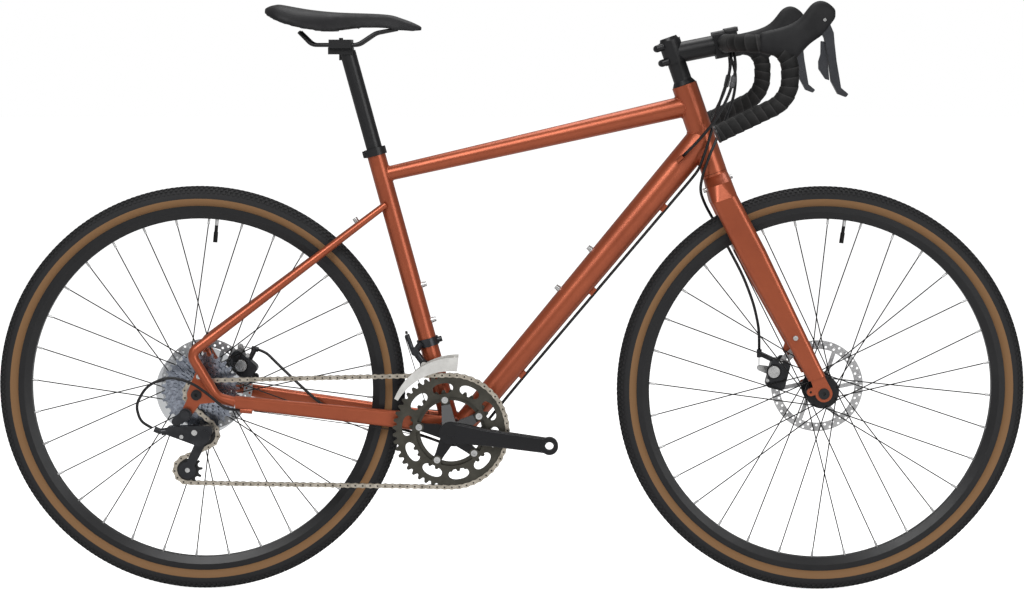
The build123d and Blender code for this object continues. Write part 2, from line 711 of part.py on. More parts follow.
def make_ring_face(teeth, phase, band_inner):
    """Chainring: toothed band, five bolt tabs and slots between them."""
    sprocket_outline(teeth, phase)
    Circle(band_inner, mode=Mode.SUBTRACT)
    with PolarLocations(bolt_circle_radius, 5, start_angle=bolt_phase):
        Circle(8.0)
        Circle(4.1, mode=Mode.SUBTRACT)


ring_half = 0.9
ring_plate_half = 1.4
crank_plane = Plane(origin=(bb_x, 0, bb_z), x_dir=(cos(radians(crank_angle)), 0, sin(radians(crank_angle))),
                    z_dir=(0, -1, 0))
with BuildPart() as chainrings:
    with BuildSketch(side_plane(bb_x, ring_plane, bb_z)):
        make_ring_face(ring_teeth, tooth_phase(0), 60.0)
        with PolarLocations(74.0, 5, start_angle=bolt_phase + 36):
            SlotArc(CenterArc((-74.0, 0), 74.0, -15, 30), 2 * slot_half_width, mode=Mode.SUBTRACT)
    extrude(amount=ring_half, both=True)
    with BuildSketch(side_plane(bb_x, ring_plane, bb_z)):
        with PolarLocations(bolt_circle_radius, 5, start_angle=bolt_phase):
            Circle(8.0)
            Circle(4.1, mode=Mode.SUBTRACT)
    extrude(amount=ring_plate_half, both=True)
    with BuildSketch(side_plane(bb_x, inner_ring_plane, bb_z)):
        make_ring_face(inner_ring_teeth, 0.0, 53.0)
    extrude(amount=ring_half, both=True)
save(chainrings, "chainrings")

tab_in = inner_ring_plane - ring_half
tab_out = ring_plane + ring_plate_half
arm_end_radius = 15.0
pedal_thread_radius = 7.15
arm_stations = [(0, 57.0, 38.0, 18.0), (62, 62.0, 29.0, 15.0), (crank_length, 68.8, 27.0, 12.4)]


def make_arm(plane, side):
    """A crank arm: straight-sided lengths between oblong sections, round at the pedal."""
    faces = []
    for along, y, height, width in arm_stations:
        origin = plane.origin + plane.x_dir * along + Vector(0, side * y, 0)
        with BuildSketch(Plane(origin=origin, x_dir=(0, 1, 0), z_dir=plane.x_dir)) as section:
            RectangleRounded(width, height, 5.0)
        faces.append(section.sketch)
    for near, far in zip(faces, faces[1:]):
        loft([near, far], ruled=True)
    pedal = plane.origin + plane.x_dir * crank_length
    y, width = side * arm_stations[-1][1], arm_stations[-1][3]
    disc(pedal.X, pedal.Z, y - width / 2, y + width / 2, arm_end_radius)
    disc(pedal.X, pedal.Z, y - width, y + width, pedal_thread_radius, Mode.SUBTRACT)


with BuildPart() as drive_crank:
    make_arm(crank_plane, -1)
    disc(bb_x, bb_z, -66.0, -46.5, 19.0)
    for spoke in range(5):
        turn = radians(bolt_phase + 72 * spoke)
        out_dir = Vector(cos(turn), 0, sin(turn))
        faces = []
        for reach, y, width, depth in ((8.0, -56.5, 26.0, 16.0), (46.5, tab_out - 1.0, 15.0, 3.4)):
            origin = Vector(bb_x, y, bb_z) + out_dir * reach
            with BuildSketch(Plane(origin=origin, x_dir=(0, 1, 0), z_dir=out_dir)) as section:
                Rectangle(depth, width)
            faces.append(section.sketch)
        loft(faces, ruled=True)
    with BuildSketch(side_plane(bb_x, (tab_in + tab_out) / 2, bb_z)):
        with PolarLocations(51.0, 5, start_angle=bolt_phase):
            Rectangle(18, 15)
        with PolarLocations(bolt_circle_radius, 5, start_angle=bolt_phase):
            Circle(7.5)
            Circle(4.1, mode=Mode.SUBTRACT)
    extrude(amount=(tab_in - tab_out) / 2, both=True)
    disc(bb_x, bb_z, -54.0, 66.0, spindle_radius)
    disc(bb_x, bb_z, -80.0, 70.0, 8.5, Mode.SUBTRACT)
    disc(bb_x, bb_z, -65.5, -62.0, 9.5)
    add(chainrings.part, mode=Mode.SUBTRACT)
save(drive_crank, "drive_crank")

left_plane = Plane(origin=crank_plane.origin, x_dir=crank_plane.x_dir * -1, z_dir=(0, 1, 0))
with BuildPart() as left_crank:
    make_arm(left_plane, 1)
    disc(bb_x, bb_z, 46.5, 66.0, 19.0)
    disc(bb_x, bb_z, 0.0, 80.0, spindle_radius, Mode.SUBTRACT)
save(left_crank, "left_crank")

with BuildPart() as chainring_bolts:
    for spoke in range(5):
        x, y, z = polar(bb_x, bb_z, bolt_circle_radius, bolt_phase + 72 * spoke)
        disc(x, z, ring_plane - ring_plate_half - 1.0, inner_ring_plane + ring_half + 1.0, 4.0)
        disc(x, z, ring_plane - ring_plate_half - 1.2, ring_plane - ring_plate_half, 5.6)
        disc(x, z, inner_ring_plane + ring_half, inner_ring_plane + ring_half + 1.2, 5.6)
        disc(x, z, ring_plane - ring_plate_half - 2.0, ring_plane, 2.6, Mode.SUBTRACT)
save(chainring_bolts, "chainring_bolts")

# ---- derailleurs --------------------------------------------------------------------------
link_pin_radius = 4.0
link_x, link_y, link_z = polar(bb_x, bb_z, 121.5, 112.0)
with BuildPart() as front_derailleur_clamp:
    rod(seat(0, 0, 147.0), seat(0, 0, 161.0), seat_tube_radius + 3.0)
    rod(seat(0, 0, 140.0), seat(0, 0, 170.0), seat_tube_radius, Mode.SUBTRACT)
    rod(seat(14.0, -4.0, 154.0), seat(25.0, -4.0, 154.0), 5.0)
    rod(seat(-13.0, -14.0, 154.0), seat(-24.0, -26.0, 146.0), 6.0)
    rod(seat(-24.0, -31.0, 146.0), seat(-24.0, -17.0, 146.0), 7.0)
    rod(seat(-28.0, -22.0, 148.0), seat(-30.0, -22.0, 178.0), 4.0)
    # the arm reaches down to the sleeve that the cage's pin slides in
    rod(seat(-24.0, -24.0, 146.0), (link_x, -24.0, link_z), 6.0)
    disc(link_x, link_z, -32.0, -18.0, 8.0)
    disc(link_x, link_z, -40.0, -10.0, link_pin_radius + running_gap, Mode.SUBTRACT)
    rod(seat(0, 0, 100.0), seat(0, 0, 200.0), seat_tube_radius, Mode.SUBTRACT)
save(front_derailleur_clamp, "front_derailleur_clamp")

cage_inner_y = -40.0
cage_outer_y = -55.6
cage_plate = 1.1
cage_low_radius = 105.0


def cage_side(y, high_radius, first_angle, last_angle):
    """One side plate of the front cage: a band that follows the big ring, deeper at its nose."""
    with BuildSketch(side_plane(bb_x, y, bb_z)) as band:
        with BuildLine() as edge:
            nose_high = (high_radius * cos(radians(first_angle)), high_radius * sin(radians(first_angle)))
            nose_low = (cage_low_radius * cos(radians(first_angle)), cage_low_radius * sin(radians(first_angle)))
            mid = radians((first_angle + last_angle) / 2)
            tail_low = (cage_low_radius * cos(radians(last_angle)), cage_low_radius * sin(radians(last_angle)))
            tail_radius = cage_low_radius + 7.0
            tail_high = (tail_radius * cos(radians(last_angle)), tail_radius * sin(radians(last_angle)))
            top_radius = (high_radius + tail_radius) / 2 + 1.5
            ThreePointArc(nose_low, (cage_low_radius * cos(mid), cage_low_radius * sin(mid)), tail_low)
            Line(tail_low, tail_high)
            ThreePointArc(tail_high, (top_radius * cos(mid), top_radius * sin(mid)), nose_high)
            Line(nose_high, nose_low)
        make_face(edge.line.edges())
    extrude(band.sketch, amount=cage_plate / 2, both=True)


with BuildPart() as front_derailleur_cage:
    cage_side(cage_outer_y, 129.0, 84.0, 149.0)
    cage_side(cage_inner_y, 133.0, 84.0, 140.0)
    nose = polar(bb_x, bb_z, 126.0, 87.0)
    disc(nose[0], nose[2], cage_outer_y, cage_inner_y, 2.2)
    disc(link_x, link_z, cage_inner_y, -38.6, 6.0)
    disc(link_x, link_z, cage_inner_y, -25.0, link_pin_radius)
    tail = polar(bb_x, bb_z, cage_low_radius + 4.0, 147.5)
    disc(tail[0], tail[2], cage_outer_y, cage_inner_y + 4.0, 2.0)
save(front_derailleur_cage, "front_derailleur_cage")

hanger_face = -dropout_in - dropout_thickness
with BuildPart() as rear_derailleur_mount:
    disc(hanger_x, hanger_z, -dropout_in, hanger_face - 16.0, 5.0)
    disc(hanger_x, hanger_z, hanger_face, hanger_face - 12.0, 10.5)
    disc(hanger_x, hanger_z, hanger_face - 12.0, hanger_face - 16.0, 7.5)
    hull_plate(side_plane(0, hanger_face - 6.0, 0),
               [(hanger_x, hanger_z, 9.0), (hanger_x - 16.0, hanger_z - 12.0, 7.5)], 10.0)
save(rear_derailleur_mount, "rear_derailleur_mount")

body_y = cog_plane - 22.0
barrel_x = rear_axle_x - 71.0
barrel_z = tyre_radius - 57.5
with BuildPart() as rear_derailleur_body:
    hull_plate(side_plane(0, body_y, 0),
               [(hanger_x - 26.0, hanger_z - 28.0, 8.0), (guide_x + 8.0, guide_z + 10.0, 9.0),
                (guide_x - 6.0, guide_z - 6.0, 10.0)], 17.0)
    disc(guide_x, guide_z, body_y + 14.0, body_y - 9.0, 12.5)
    rod((hanger_x - 26.0, body_y, hanger_z - 28.0), (barrel_x + 12.0, body_y, barrel_z - 5.0), 6.0)
    rod((barrel_x + 12.0, body_y, barrel_z - 5.0), (barrel_x, body_y, barrel_z), 5.0)
save(rear_derailleur_body, "rear_derailleur_body")

cage_gap = 4.6
cage_wall = 1.8
with BuildPart() as rear_derailleur_cage:
    for y in (cog_plane - cage_gap - cage_wall / 2, cog_plane + cage_gap + cage_wall / 2):
        hull_plate(side_plane(0, y, 0), [(guide_x, guide_z, 9.0), (tension_x, tension_z, 7.0)], cage_wall)
        disc(tension_x, tension_z, y - cage_wall / 2, y + cage_wall / 2, 14.5)
    for x, z in ((guide_x, guide_z), (tension_x, tension_z)):
        disc(x, z, cog_plane - cage_gap - cage_wall, cog_plane + cage_gap + cage_wall, 2.5)
save(rear_derailleur_cage, "rear_derailleur_cage")


def make_pulley(x, z, phase, name):
    """A toothed jockey wheel on its bush."""
    with BuildPart() as pulley:
        with BuildSketch(side_plane(x, cog_plane, z)):
            sprocket_outline(pulley_teeth, phase)
            Circle(2.5 + running_gap, mode=Mode.SUBTRACT)
        extrude(amount=0.9, both=True)
        disc(x, z, cog_plane - 3.6, cog_plane + 3.6, 7.5)
        disc(x, z, cog_plane - 5, cog_plane + 5, 2.5 + running_gap, Mode.SUBTRACT)
    save(pulley, name)


make_pulley(guide_x, guide_z, tooth_phase(2), "guide_pulley")
make_pulley(tension_x, tension_z, tooth_phase(1), "tension_pulley")

# the last housing leaves the chainstay stop, rises over the hook and loops round behind the body
loop_y = -92.5
shift_loop_points = [
    (stop_x - 4.2, -stop_y, stop_z + 0.34), (stop_x - 15.0, -stop_y - 0.4, stop_z + 0.6),
    (stop_x - 35.0, loop_y + 4.0, stop_z + 6.0),
    (rear_axle_x + 24.0, loop_y, tyre_radius + 2.0), (rear_axle_x - 6.0, loop_y - 2.0, tyre_radius + 24.0),
    (rear_axle_x - 44.0, loop_y - 3.0, tyre_radius + 34.0), (rear_axle_x - 82.0, loop_y - 2.0, tyre_radius + 18.0),
    (rear_axle_x - 101.0, loop_y, tyre_radius - 16.0), (rear_axle_x - 94.0, body_y - 2.0, tyre_radius - 44.0),
    (barrel_x - 4.5, body_y, barrel_z + 1.9)]
with BuildPart() as shift_loop:
    housing(shift_loop_points, 2.4)
save(shift_loop, "shift_loop")

# ---- fork ---------------------------------------------------------------------------------
steerer_top = head_tube_length + 8.0 + spacer_height + 40.0
crown_depth = 46.0
fork_inner = front_hub_width / 2
fork_end_thickness = 8.0
blade_sections = [(-0.7, -crown_depth, 38.0, 45.0, 22.0), (13.7, -150.0, 42.5, 47.0, 20.0),
                  (48.0, -386.0, 55.0, 30.0, 14.0)]
with BuildPart() as fork_crown:
    rod(steer(0, 0, -2.0), steer(0, 0, steerer_top), steerer_radius)
    rod(steer(0, 0, -seam_gap - 4.0), steer(0, 0, -seam_gap), head_tube_radius)
    with BuildSketch(steer_plane(0, 0, -seam_gap - 4.0)) as crown_high:
        RectangleRounded(2 * head_tube_radius - 0.4, 2 * head_tube_radius - 0.4, head_tube_radius - 0.6)
    with BuildSketch(steer_plane(0, 0, -20.0)) as crown_mid:
        RectangleRounded(44.0, 82.0, 20.0)
    with BuildSketch(steer_plane(-0.7, 0, -crown_depth)) as crown_low:
        RectangleRounded(45.0, 98.0, 10.8)
    loft([crown_high.sketch, crown_mid.sketch], ruled=True)
    loft([crown_mid.sketch, crown_low.sketch], ruled=True)
    rod(steer(0, 0, -60), steer(0, 0, steerer_top + 1), 11.5, Mode.SUBTRACT)
    disc(front_axle_x, tyre_radius, -27.0, 27.0, tyre_radius + 7.0, Mode.SUBTRACT)
save(fork_crown, "fork_crown")

fork_eyelet = (front_axle_x - 22.5, tyre_radius + 2.5)
front_caliper = (front_axle_x - 69.0, tyre_radius + 21.0)
with BuildPart() as fork_blades:
    for side in (-1, 1):
        faces = []
        for forward, up, left, depth, width in blade_sections:
            with BuildSketch(steer_plane(forward, side * left, up)) as section:
                RectangleRounded(depth, width, width * 0.49)
            faces.append(section.sketch)
        for near, far in zip(faces, faces[1:]):
            loft([near, far], ruled=True)
        hull_plate(side_plane(0, side * (fork_inner + fork_end_thickness / 2), 0),
                   [(front_axle_x, tyre_radius, 14.5), (front_axle_x - 11.0, tyre_radius + 26.0, 12.0)],
                   fork_end_thickness)
        hull_plate(side_plane(0, side * (fork_inner + fork_end_thickness / 2 + 1.0), 0),
                   [(front_axle_x - 8.0, tyre_radius + 8.0, 7.0), (fork_eyelet[0], fork_eyelet[1], 6.5)], 6.0)
    # the caliper bracket stands behind the left blade
    hull_plate(side_plane(0, 51.0, 0),
               [(front_axle_x - 52.0, tyre_radius + 62.0, 7.0), (front_axle_x - 42.0, tyre_radius + 92.0, 8.0),
                (front_axle_x - 22.0, tyre_radius + 44.0, 6.0)], 9.0)
    for side in (-1, 1):
        disc(front_axle_x, tyre_radius, side * 45, side * 70, axle_radius + running_gap, Mode.SUBTRACT)
        disc(fork_eyelet[0], fork_eyelet[1], side * 45, side * 80, 2.1, Mode.SUBTRACT)
    disc(front_axle_x, tyre_radius, -fork_inner, fork_inner, 60.0, Mode.SUBTRACT)
    disc(front_axle_x, tyre_radius, -27.0, 27.0, tyre_radius + 7.0, Mode.SUBTRACT)
save(fork_blades, "fork_blades")

with BuildPart() as front_axle:
    disc(front_axle_x, tyre_radius, -fork_inner, fork_inner, sleeve_radius)
    disc(front_axle_x, tyre_radius, -fork_inner - fork_end_thickness - 1.5,
         fork_inner + fork_end_thickness + 5.0, axle_radius)
    disc(front_axle_x, tyre_radius, -fork_inner - fork_end_thickness - 2.0, -fork_inner - fork_end_thickness, 9.5)
    disc(front_axle_x, tyre_radius, fork_inner + fork_end_thickness, fork_inner + fork_end_thickness + 5.0, 9.5)
    disc(front_axle_x, tyre_radius, -90, -fork_inner - fork_end_thickness + 1.0, 3.0, Mode.SUBTRACT)
save(front_axle, "front_axle")

with BuildPart() as fork_bolts:
    rod(steer(15.0, 0, -16.0), steer(27.0, 0, -16.0), 4.2)
    rod(steer(-15.0, 0, -24.0), steer(-28.0, 0, -24.0), 4.2)
    for side in (-1, 1):
        disc(front_axle_x - 50.0, tyre_radius + 96.0, side * 50.0, side * 64.0, 4.2)
    add(fork_crown.part, mode=Mode.SUBTRACT)
    add(fork_blades.part, mode=Mode.SUBTRACT)
save(fork_bolts, "fork_bolts")

# ---- stem, spacers and bar ----------------------------------------------------------------
cover_height = 8.0
spacer_radius = 15.7
spacer_low = head_tube_length + seam_gap
stem_low = head_tube_length + cover_height + spacer_height
stem_high = stem_low + 40.0
with BuildPart() as headset_spacers:
    rod(steer(0, 0, spacer_low), steer(0, 0, head_tube_length + cover_height), 20.5, end_radius=16.0)
    rod(steer(0, 0, head_tube_length + cover_height), steer(0, 0, stem_low), spacer_radius)
    rod(steer(0, 0, spacer_low - 1), steer(0, 0, stem_low + 1), steerer_radius, Mode.SUBTRACT)
    rod(steer(0, 0, stem_high), steer(0, 0, stem_high + 5.0), 16.5, end_radius=14.5)
    rod(steer(0, 0, stem_high - 8.0), steer(0, 0, stem_high), 11.5)
save(headset_spacers, "headset_spacers")

stem_turn = radians(stem_drop_angle)
stem_root_up = (stem_low + stem_high) / 2 - 4.0
bar_forward = stem_length * cos(stem_turn)
bar_up = stem_root_up - stem_length * sin(stem_turn)
bar_centre = steer(bar_forward, 0, bar_up)
bar_x, bar_z = bar_centre[0], bar_centre[2]


def along_stem(reach, left, up):
    """A point along the stem's own axis, from the steering axis."""
    return steer(reach * cos(stem_turn) + up * sin(stem_turn), left,
                 stem_root_up - reach * sin(stem_turn) + up * cos(stem_turn))


face_split = stem_length + 1.0
with BuildPart() as stem:
    rod(steer(0, 0, stem_low), steer(0, 0, stem_high), 19.0)
    rod(along_stem(0, 0, 0), along_stem(stem_length - 12.0, 0, 0), stem_radius)
    stem_face = Plane(origin=along_stem(stem_length - 20.0, 0, 0), x_dir=(0, 1, 0),
                      z_dir=Vector(*along_stem(1, 0, 0)) - Vector(*along_stem(0, 0, 0)))
    with BuildSketch(stem_face):
        RectangleRounded(42.0, 46.0, 7.0)
    extrude(amount=20.6)
    for up in (stem_low + 7.0, stem_high - 7.0):
        rod(steer(-24.0, -11.0, up), steer(-24.0, 11.0, up), 6.0)
        rod(steer(-24.0, -11.0, up), steer(-12.0, -11.0, up), 6.0)
        rod(steer(-24.0, 11.0, up), steer(-12.0, 11.0, up), 6.0)
    rod(steer(0, 0, stem_low - 12), steer(0, 0, stem_high + 1), steerer_radius, Mode.SUBTRACT)
    rod(steer(0, 0, stem_low - 12), steer(0, 0, stem_low), spacer_radius + 1.0, Mode.SUBTRACT)
    disc(bar_x, bar_z, -40, 40, bar_clamp_radius, Mode.SUBTRACT)
save(stem, "stem")

with BuildPart() as stem_faceplate:
    with BuildSketch(Plane(origin=along_stem(face_split + 0.4, 0, 0), x_dir=(0, 1, 0), z_dir=stem_face.z_dir)):
        RectangleRounded(42.0, 50.0, 7.0)
    extrude(amount=20.0)
    disc(bar_x, bar_z, -21, 21, bar_clamp_radius + 4.5)
    with BuildSketch(Plane(origin=along_stem(face_split + 0.4, 0, 0), x_dir=(0, 1, 0), z_dir=stem_face.z_dir)):
        Rectangle(60.0, 80.0)
    extrude(amount=-40.0, mode=Mode.SUBTRACT)
    with BuildSketch(Plane(origin=along_stem(face_split + 12.0, 0, 0), x_dir=(0, 1, 0), z_dir=stem_face.z_dir)):
        Rectangle(60.0, 20.0)
        with Locations((0, 0)):
            Rectangle(24.0, 20.0, mode=Mode.SUBTRACT)
    extrude(amount=20.0, mode=Mode.SUBTRACT)
    for left in (-15.0, 15.0):
        for up in (-20.5, 20.5):
            rod(along_stem(face_split + 20.4, left, up), along_stem(face_split + 23.0, left, up), 4.0)
    disc(bar_x, bar_z, -40, 40, bar_clamp_radius, Mode.SUBTRACT)
save(stem_faceplate, "stem_faceplate")

# one half of the bar: out along the top, forward to the hood, down and back along the drop
reach = 86.0
drop_turn_z = bar_z - 91.0
bar_half = [(bar_x, 30.0, bar_z), (bar_x, bar_half_width - 5.0, bar_z), (bar_x + reach, bar_half_width, bar_z - 3.0),
            (bar_x + reach, bar_half_width + 3.0, drop_turn_z), (bar_x - 30.0, bar_half_width + 8.0, bar_z - 146.0)]
bar_bends = [40.0, 42.0, 50.0]
tape_start = 44.0
tape_radius = bar_radius + tape_thickness
bar_end = Vector(*bar_half[-1])
bar_end_run = (bar_end - Vector(*bar_half[-2])).normalized()
with BuildPart() as handlebar:
    disc(bar_x, bar_z, -30.0, 30.0, bar_clamp_radius)
    for side in (-1, 1):
        bent_rod([mirrored(point, side) for point in bar_half], bar_bends, bar_radius)
        rod((bar_x, side * 30.0, bar_z), (bar_x, side * 42.0, bar_z), bar_clamp_radius, end_radius=bar_radius)
        rod(mirrored(bar_end, side), mirrored(bar_end + bar_end_run * 3.0, side), tape_radius)
save(handlebar, "handlebar")

tape_half = [(bar_x, tape_start, bar_z)] + bar_half[1:]
with BuildPart() as bar_tape:
    for side in (-1, 1):
        bent_rod([mirrored(point, side) for point in tape_half], bar_bends, tape_radius, bar_radius)
save(bar_tape, "bar_tape")

# ---- brake and shift levers ---------------------------------------------------------------
hood_half_width = 17.0
lever_pivot_x = bar_x + 134.0
lever_pivot_z = bar_z + 20.0
hood_y = bar_half_width - 2.0


def hood_outline():
    """Side outline of a hood from the bar, up to its horn and back along its underside."""
    return [(bar_x + 48.0, bar_z + 15.5), (bar_x + 84.0, bar_z + 27.0), (bar_x + 103.0, bar_z + 41.0),
            (bar_x + 116.0, bar_z + 64.0), (bar_x + 133.0, bar_z + 69.0), (bar_x + 149.0, bar_z + 64.0),
            (bar_x + 160.0, bar_z + 51.0), (bar_x + 152.0, bar_z + 38.0), (bar_x + 143.0, bar_z + 27.0),
            (bar_x + 138.0, bar_z + 12.0), (bar_x + 124.0, bar_z + 4.0), (bar_x + 103.0, bar_z - 15.0),
            (bar_x + 98.0, bar_z - 40.0), (bar_x + 60.0, bar_z - 2.0)]


lever_slot_half = 8.5
with BuildPart() as hoods:
    for side in (-1, 1):
        with BuildSketch(side_plane(0, side * hood_y, 0)) as profile:
            Polygon(*hood_outline(), align=None)
            fillet(profile.vertices(), 5.0)
        extrude(profile.sketch, amount=hood_half_width, both=True)
        # the slot that the lever swings in
        with BuildSketch(side_plane(0, side * hood_y, 0)) as slot:
            Polygon((lever_pivot_x - 13.0, lever_pivot_z - 26.0), (lever_pivot_x - 13.0, lever_pivot_z + 13.0),
                    (lever_pivot_x + 8.0, lever_pivot_z + 24.0), (lever_pivot_x + 40.0, lever_pivot_z + 24.0),
                    (lever_pivot_x + 40.0, lever_pivot_z - 26.0), align=None)
        extrude(slot.sketch, amount=lever_slot_half, both=True, mode=Mode.SUBTRACT)
        bent_rod_points = [mirrored(point, side) for point in tape_half]
        with BuildLine() as bar_path:
            FilletPolyline(*bent_rod_points, radius=bar_bends)
        with BuildSketch(Plane(origin=bar_path.line @ 0, z_dir=bar_path.line % 0)) as bore:
            Circle(tape_radius + soft_gap)
        sweep(bore.sketch, path=bar_path.line, mode=Mode.SUBTRACT)
        disc(lever_pivot_x, lever_pivot_z, side * hood_y - hood_half_width - 0.5,
             side * hood_y + hood_half_width + 0.5, 2.5)
save(hoods, "hoods")


def make_lever(side, name):
    """Brake lever: a hub on the pivot and a curved blade with a flared tip."""
    y = side * hood_y
    with BuildPart() as lever:
        disc(lever_pivot_x, lever_pivot_z, y - 7.5, y + 7.5, 7.0)
        with BuildSketch(side_plane(0, y, 0)) as blade:
            Polygon((lever_pivot_x - 4.0, lever_pivot_z + 5.0), (lever_pivot_x + 14.0, lever_pivot_z + 12.0),
                    (lever_pivot_x + 21.0, lever_pivot_z - 4.0), (lever_pivot_x + 22.5, lever_pivot_z - 20.0),
                    (lever_pivot_x + 26.0, lever_pivot_z - 48.0), (lever_pivot_x + 34.0, lever_pivot_z - 92.0),
                    (lever_pivot_x + 46.0, lever_pivot_z - 102.0), (lever_pivot_x + 42.0, lever_pivot_z - 107.0),
                    (lever_pivot_x + 29.0, lever_pivot_z - 102.0), (lever_pivot_x + 18.0, lever_pivot_z - 82.0),
                    (lever_pivot_x + 12.5, lever_pivot_z - 44.0), (lever_pivot_x + 6.0, lever_pivot_z - 12.0),
                    align=None)
            fillet(blade.vertices(), 1.6)
        extrude(blade.sketch, amount=7.0, both=True)
        disc(lever_pivot_x, lever_pivot_z, y - 20, y + 20, 2.5 + running_gap, Mode.SUBTRACT)
    save(lever, name)


paddle_half = 3.5


def make_paddle(side, name):
    """Shift paddle: a thin fin that hangs just behind the brake lever blade."""
    y = side * (hood_y - 1.0)
    with BuildPart() as paddle:
        with BuildSketch(side_plane(0, y, 0)) as fin:
            Polygon((lever_pivot_x + 1.0, lever_pivot_z - 17.0), (lever_pivot_x + 6.6, lever_pivot_z - 18.0),
                    (lever_pivot_x + 11.8, lever_pivot_z - 45.0), (lever_pivot_x + 15.5, lever_pivot_z - 80.0),
                    (lever_pivot_x + 9.0, lever_pivot_z - 78.0), (lever_pivot_x - 2.0, lever_pivot_z - 62.0),
                    (lever_pivot_x - 2.5, lever_pivot_z - 50.0), (lever_pivot_x + 1.0, lever_pivot_z - 38.0),
                    align=None)
            fillet(fin.vertices(), 1.0)
        extrude(fin.sketch, amount=paddle_half, both=True)
    save(paddle, name)


for side, word in ((-1, "right"), (1, "left")):
    make_lever(side, "brake_lever_" + word)
    make_paddle(side, "shift_paddle_" + word)

# ---- brake calipers -----------------------------------------------------------------------
caliper_inner = 12.5
caliper_outer = 18.0
arm_gap = 0.4
pad_slot_half = 2.2


def make_caliper(x, z, rotor_x, disc_y, lean, name, ears,
                 stop_foot, stop_start, stop_end):
    """Caliper body: a rounded block astride the rotor, with a round adjuster and its mounting ears."""
    with BuildPart() as caliper:
        plane = Plane(origin=(x, disc_y, z), x_dir=(cos(radians(lean)), 0, sin(radians(lean))), z_dir=(0, -1, 0))
        with BuildSketch(plane) as block:
            RectangleRounded(34.0, 52.0, 8.0)
        extrude(block.sketch, amount=caliper_inner, both=True)
        disc(x, z, disc_y, disc_y - caliper_inner - 2.0, 12.0)
        disc(x, z, disc_y, disc_y + caliper_outer, 15.0)
        for ear_x, ear_z, ear_radius, ear_y in ears:
            rod((ear_x, ear_y - 5.0, ear_z), (ear_x, ear_y + 5.0, ear_z), ear_radius)
        stop_run = Vector(*stop_end) - Vector(*stop_start)
        rod(stop_foot, tuple(Vector(*stop_start) + stop_run * 0.5), 4.5)
        rod(stop_start, stop_end, 4.5)
        rod(stop_start, tuple(Vector(*stop_end) + stop_run), 1.0, Mode.SUBTRACT)
        disc(rotor_x, tyre_radius, disc_y - pad_slot_half, disc_y + pad_slot_half, rotor_radius + 2.0,
             Mode.SUBTRACT)
        add(fork_blades.part, mode=Mode.SUBTRACT)
        add(seatstays.part, mode=Mode.SUBTRACT)
        add(chainstays.part, mode=Mode.SUBTRACT)
        add(dropouts.part, mode=Mode.SUBTRACT)
    save(caliper, name)


def make_caliper_arm(x, z, disc_y, lean, name):
    """Pull arm on the outer face of a caliper."""
    tip_x = x - 30.0 * sin(radians(lean))
    tip_z = z + 30.0 * cos(radians(lean))
    with BuildPart() as arm:
        arm_y = disc_y + caliper_outer + arm_gap
        hull_plate(side_plane(0, arm_y + 2.5, 0), [(x, z, 9.0), (tip_x, tip_z, 5.0)], 5.0)
        disc(tip_x, tip_z, arm_y, arm_y + 8.5, 4.0)
    save(arm, name)


# each housing ends in a stop beside its pull arm
front_stop_y = front_disc_y + caliper_outer + arm_gap + 5.5
rear_stop_y = rear_disc_y + caliper_outer + arm_gap + 5.5
front_stop_start = (front_caliper[0] - 29.5, front_stop_y, front_caliper[1] + 26.0)
front_stop_end = (front_caliper[0] - 30.0, front_stop_y, front_caliper[1] + 40.0)
rear_stop_start = (rear_caliper_x + 14.0, rear_stop_y, rear_caliper_z + 26.2)
rear_stop_end = (rear_caliper_x + 26.0, rear_stop_y, rear_caliper_z + 23.6)
front_stop_foot = (front_caliper[0] - 8.0, front_disc_y + 8.0, front_caliper[1] + 24.0)
rear_stop_foot = (rear_caliper_x + 12.5, rear_disc_y + 8.0, rear_caliper_z + 9.0)
make_caliper(front_caliper[0], front_caliper[1], front_axle_x, front_disc_y, -14.0, "front_brake_caliper",
             [(front_axle_x - 62.0, tyre_radius + 46.0, 7.0, front_disc_y + 6.0)],
             front_stop_foot, front_stop_start, front_stop_end)
make_caliper_arm(front_caliper[0], front_caliper[1], front_disc_y, 75.0, "front_caliper_arm")
make_caliper(rear_caliper_x, rear_caliper_z, rear_axle_x, rear_disc_y, 48.0, "rear_brake_caliper",
             [(rear_caliper_x + 22.0, rear_caliper_z - 22.0, 6.0, rear_disc_y + 8.0)],
             rear_stop_foot, rear_stop_start, rear_stop_end)
make_caliper_arm(rear_caliper_x, rear_caliper_z, rear_disc_y, 10.0, "rear_caliper_arm")

# ---- seatpost and saddle ------------------------------------------------------------------
post_low = seat_tube_top + clamp_height - seatpost_insertion
post_head_up = (rail_height - bb_z) / seat_sin
post_head = seat(0, 0, post_head_up)
with BuildPart() as seatpost:
    rod(seat(0, 0, post_low), seat(0, 0, post_head_up - 12.0), seatpost_radius)
    rod(seat(0, 0, post_low - 1), seat(0, 0, post_head_up - 40.0), seatpost_radius - 2.5, Mode.SUBTRACT)
    with Locations((post_head[0] - 8.0, 0, rail_height - 10.0)):
        Box(42, 34, 12)
    with Locations((post_head[0] - 8.0, 0, rail_height + 5.0)):
        Box(38, 56, 8)
    with Locations((post_head[0] - 8.0, 0, rail_height - 2.0)):
        Box(38, 56, 7)
    rod((post_head[0] - 8.0, 0, rail_height - 26.0), (post_head[0] - 8.0, 0, rail_height + 12.0), 3.5)
    for side in (-1, 1):
        rod((-400, side * rail_spread, rail_height), (-100, side * rail_spread, rail_height), 3.5, Mode.SUBTRACT)
save(seatpost, "seatpost")

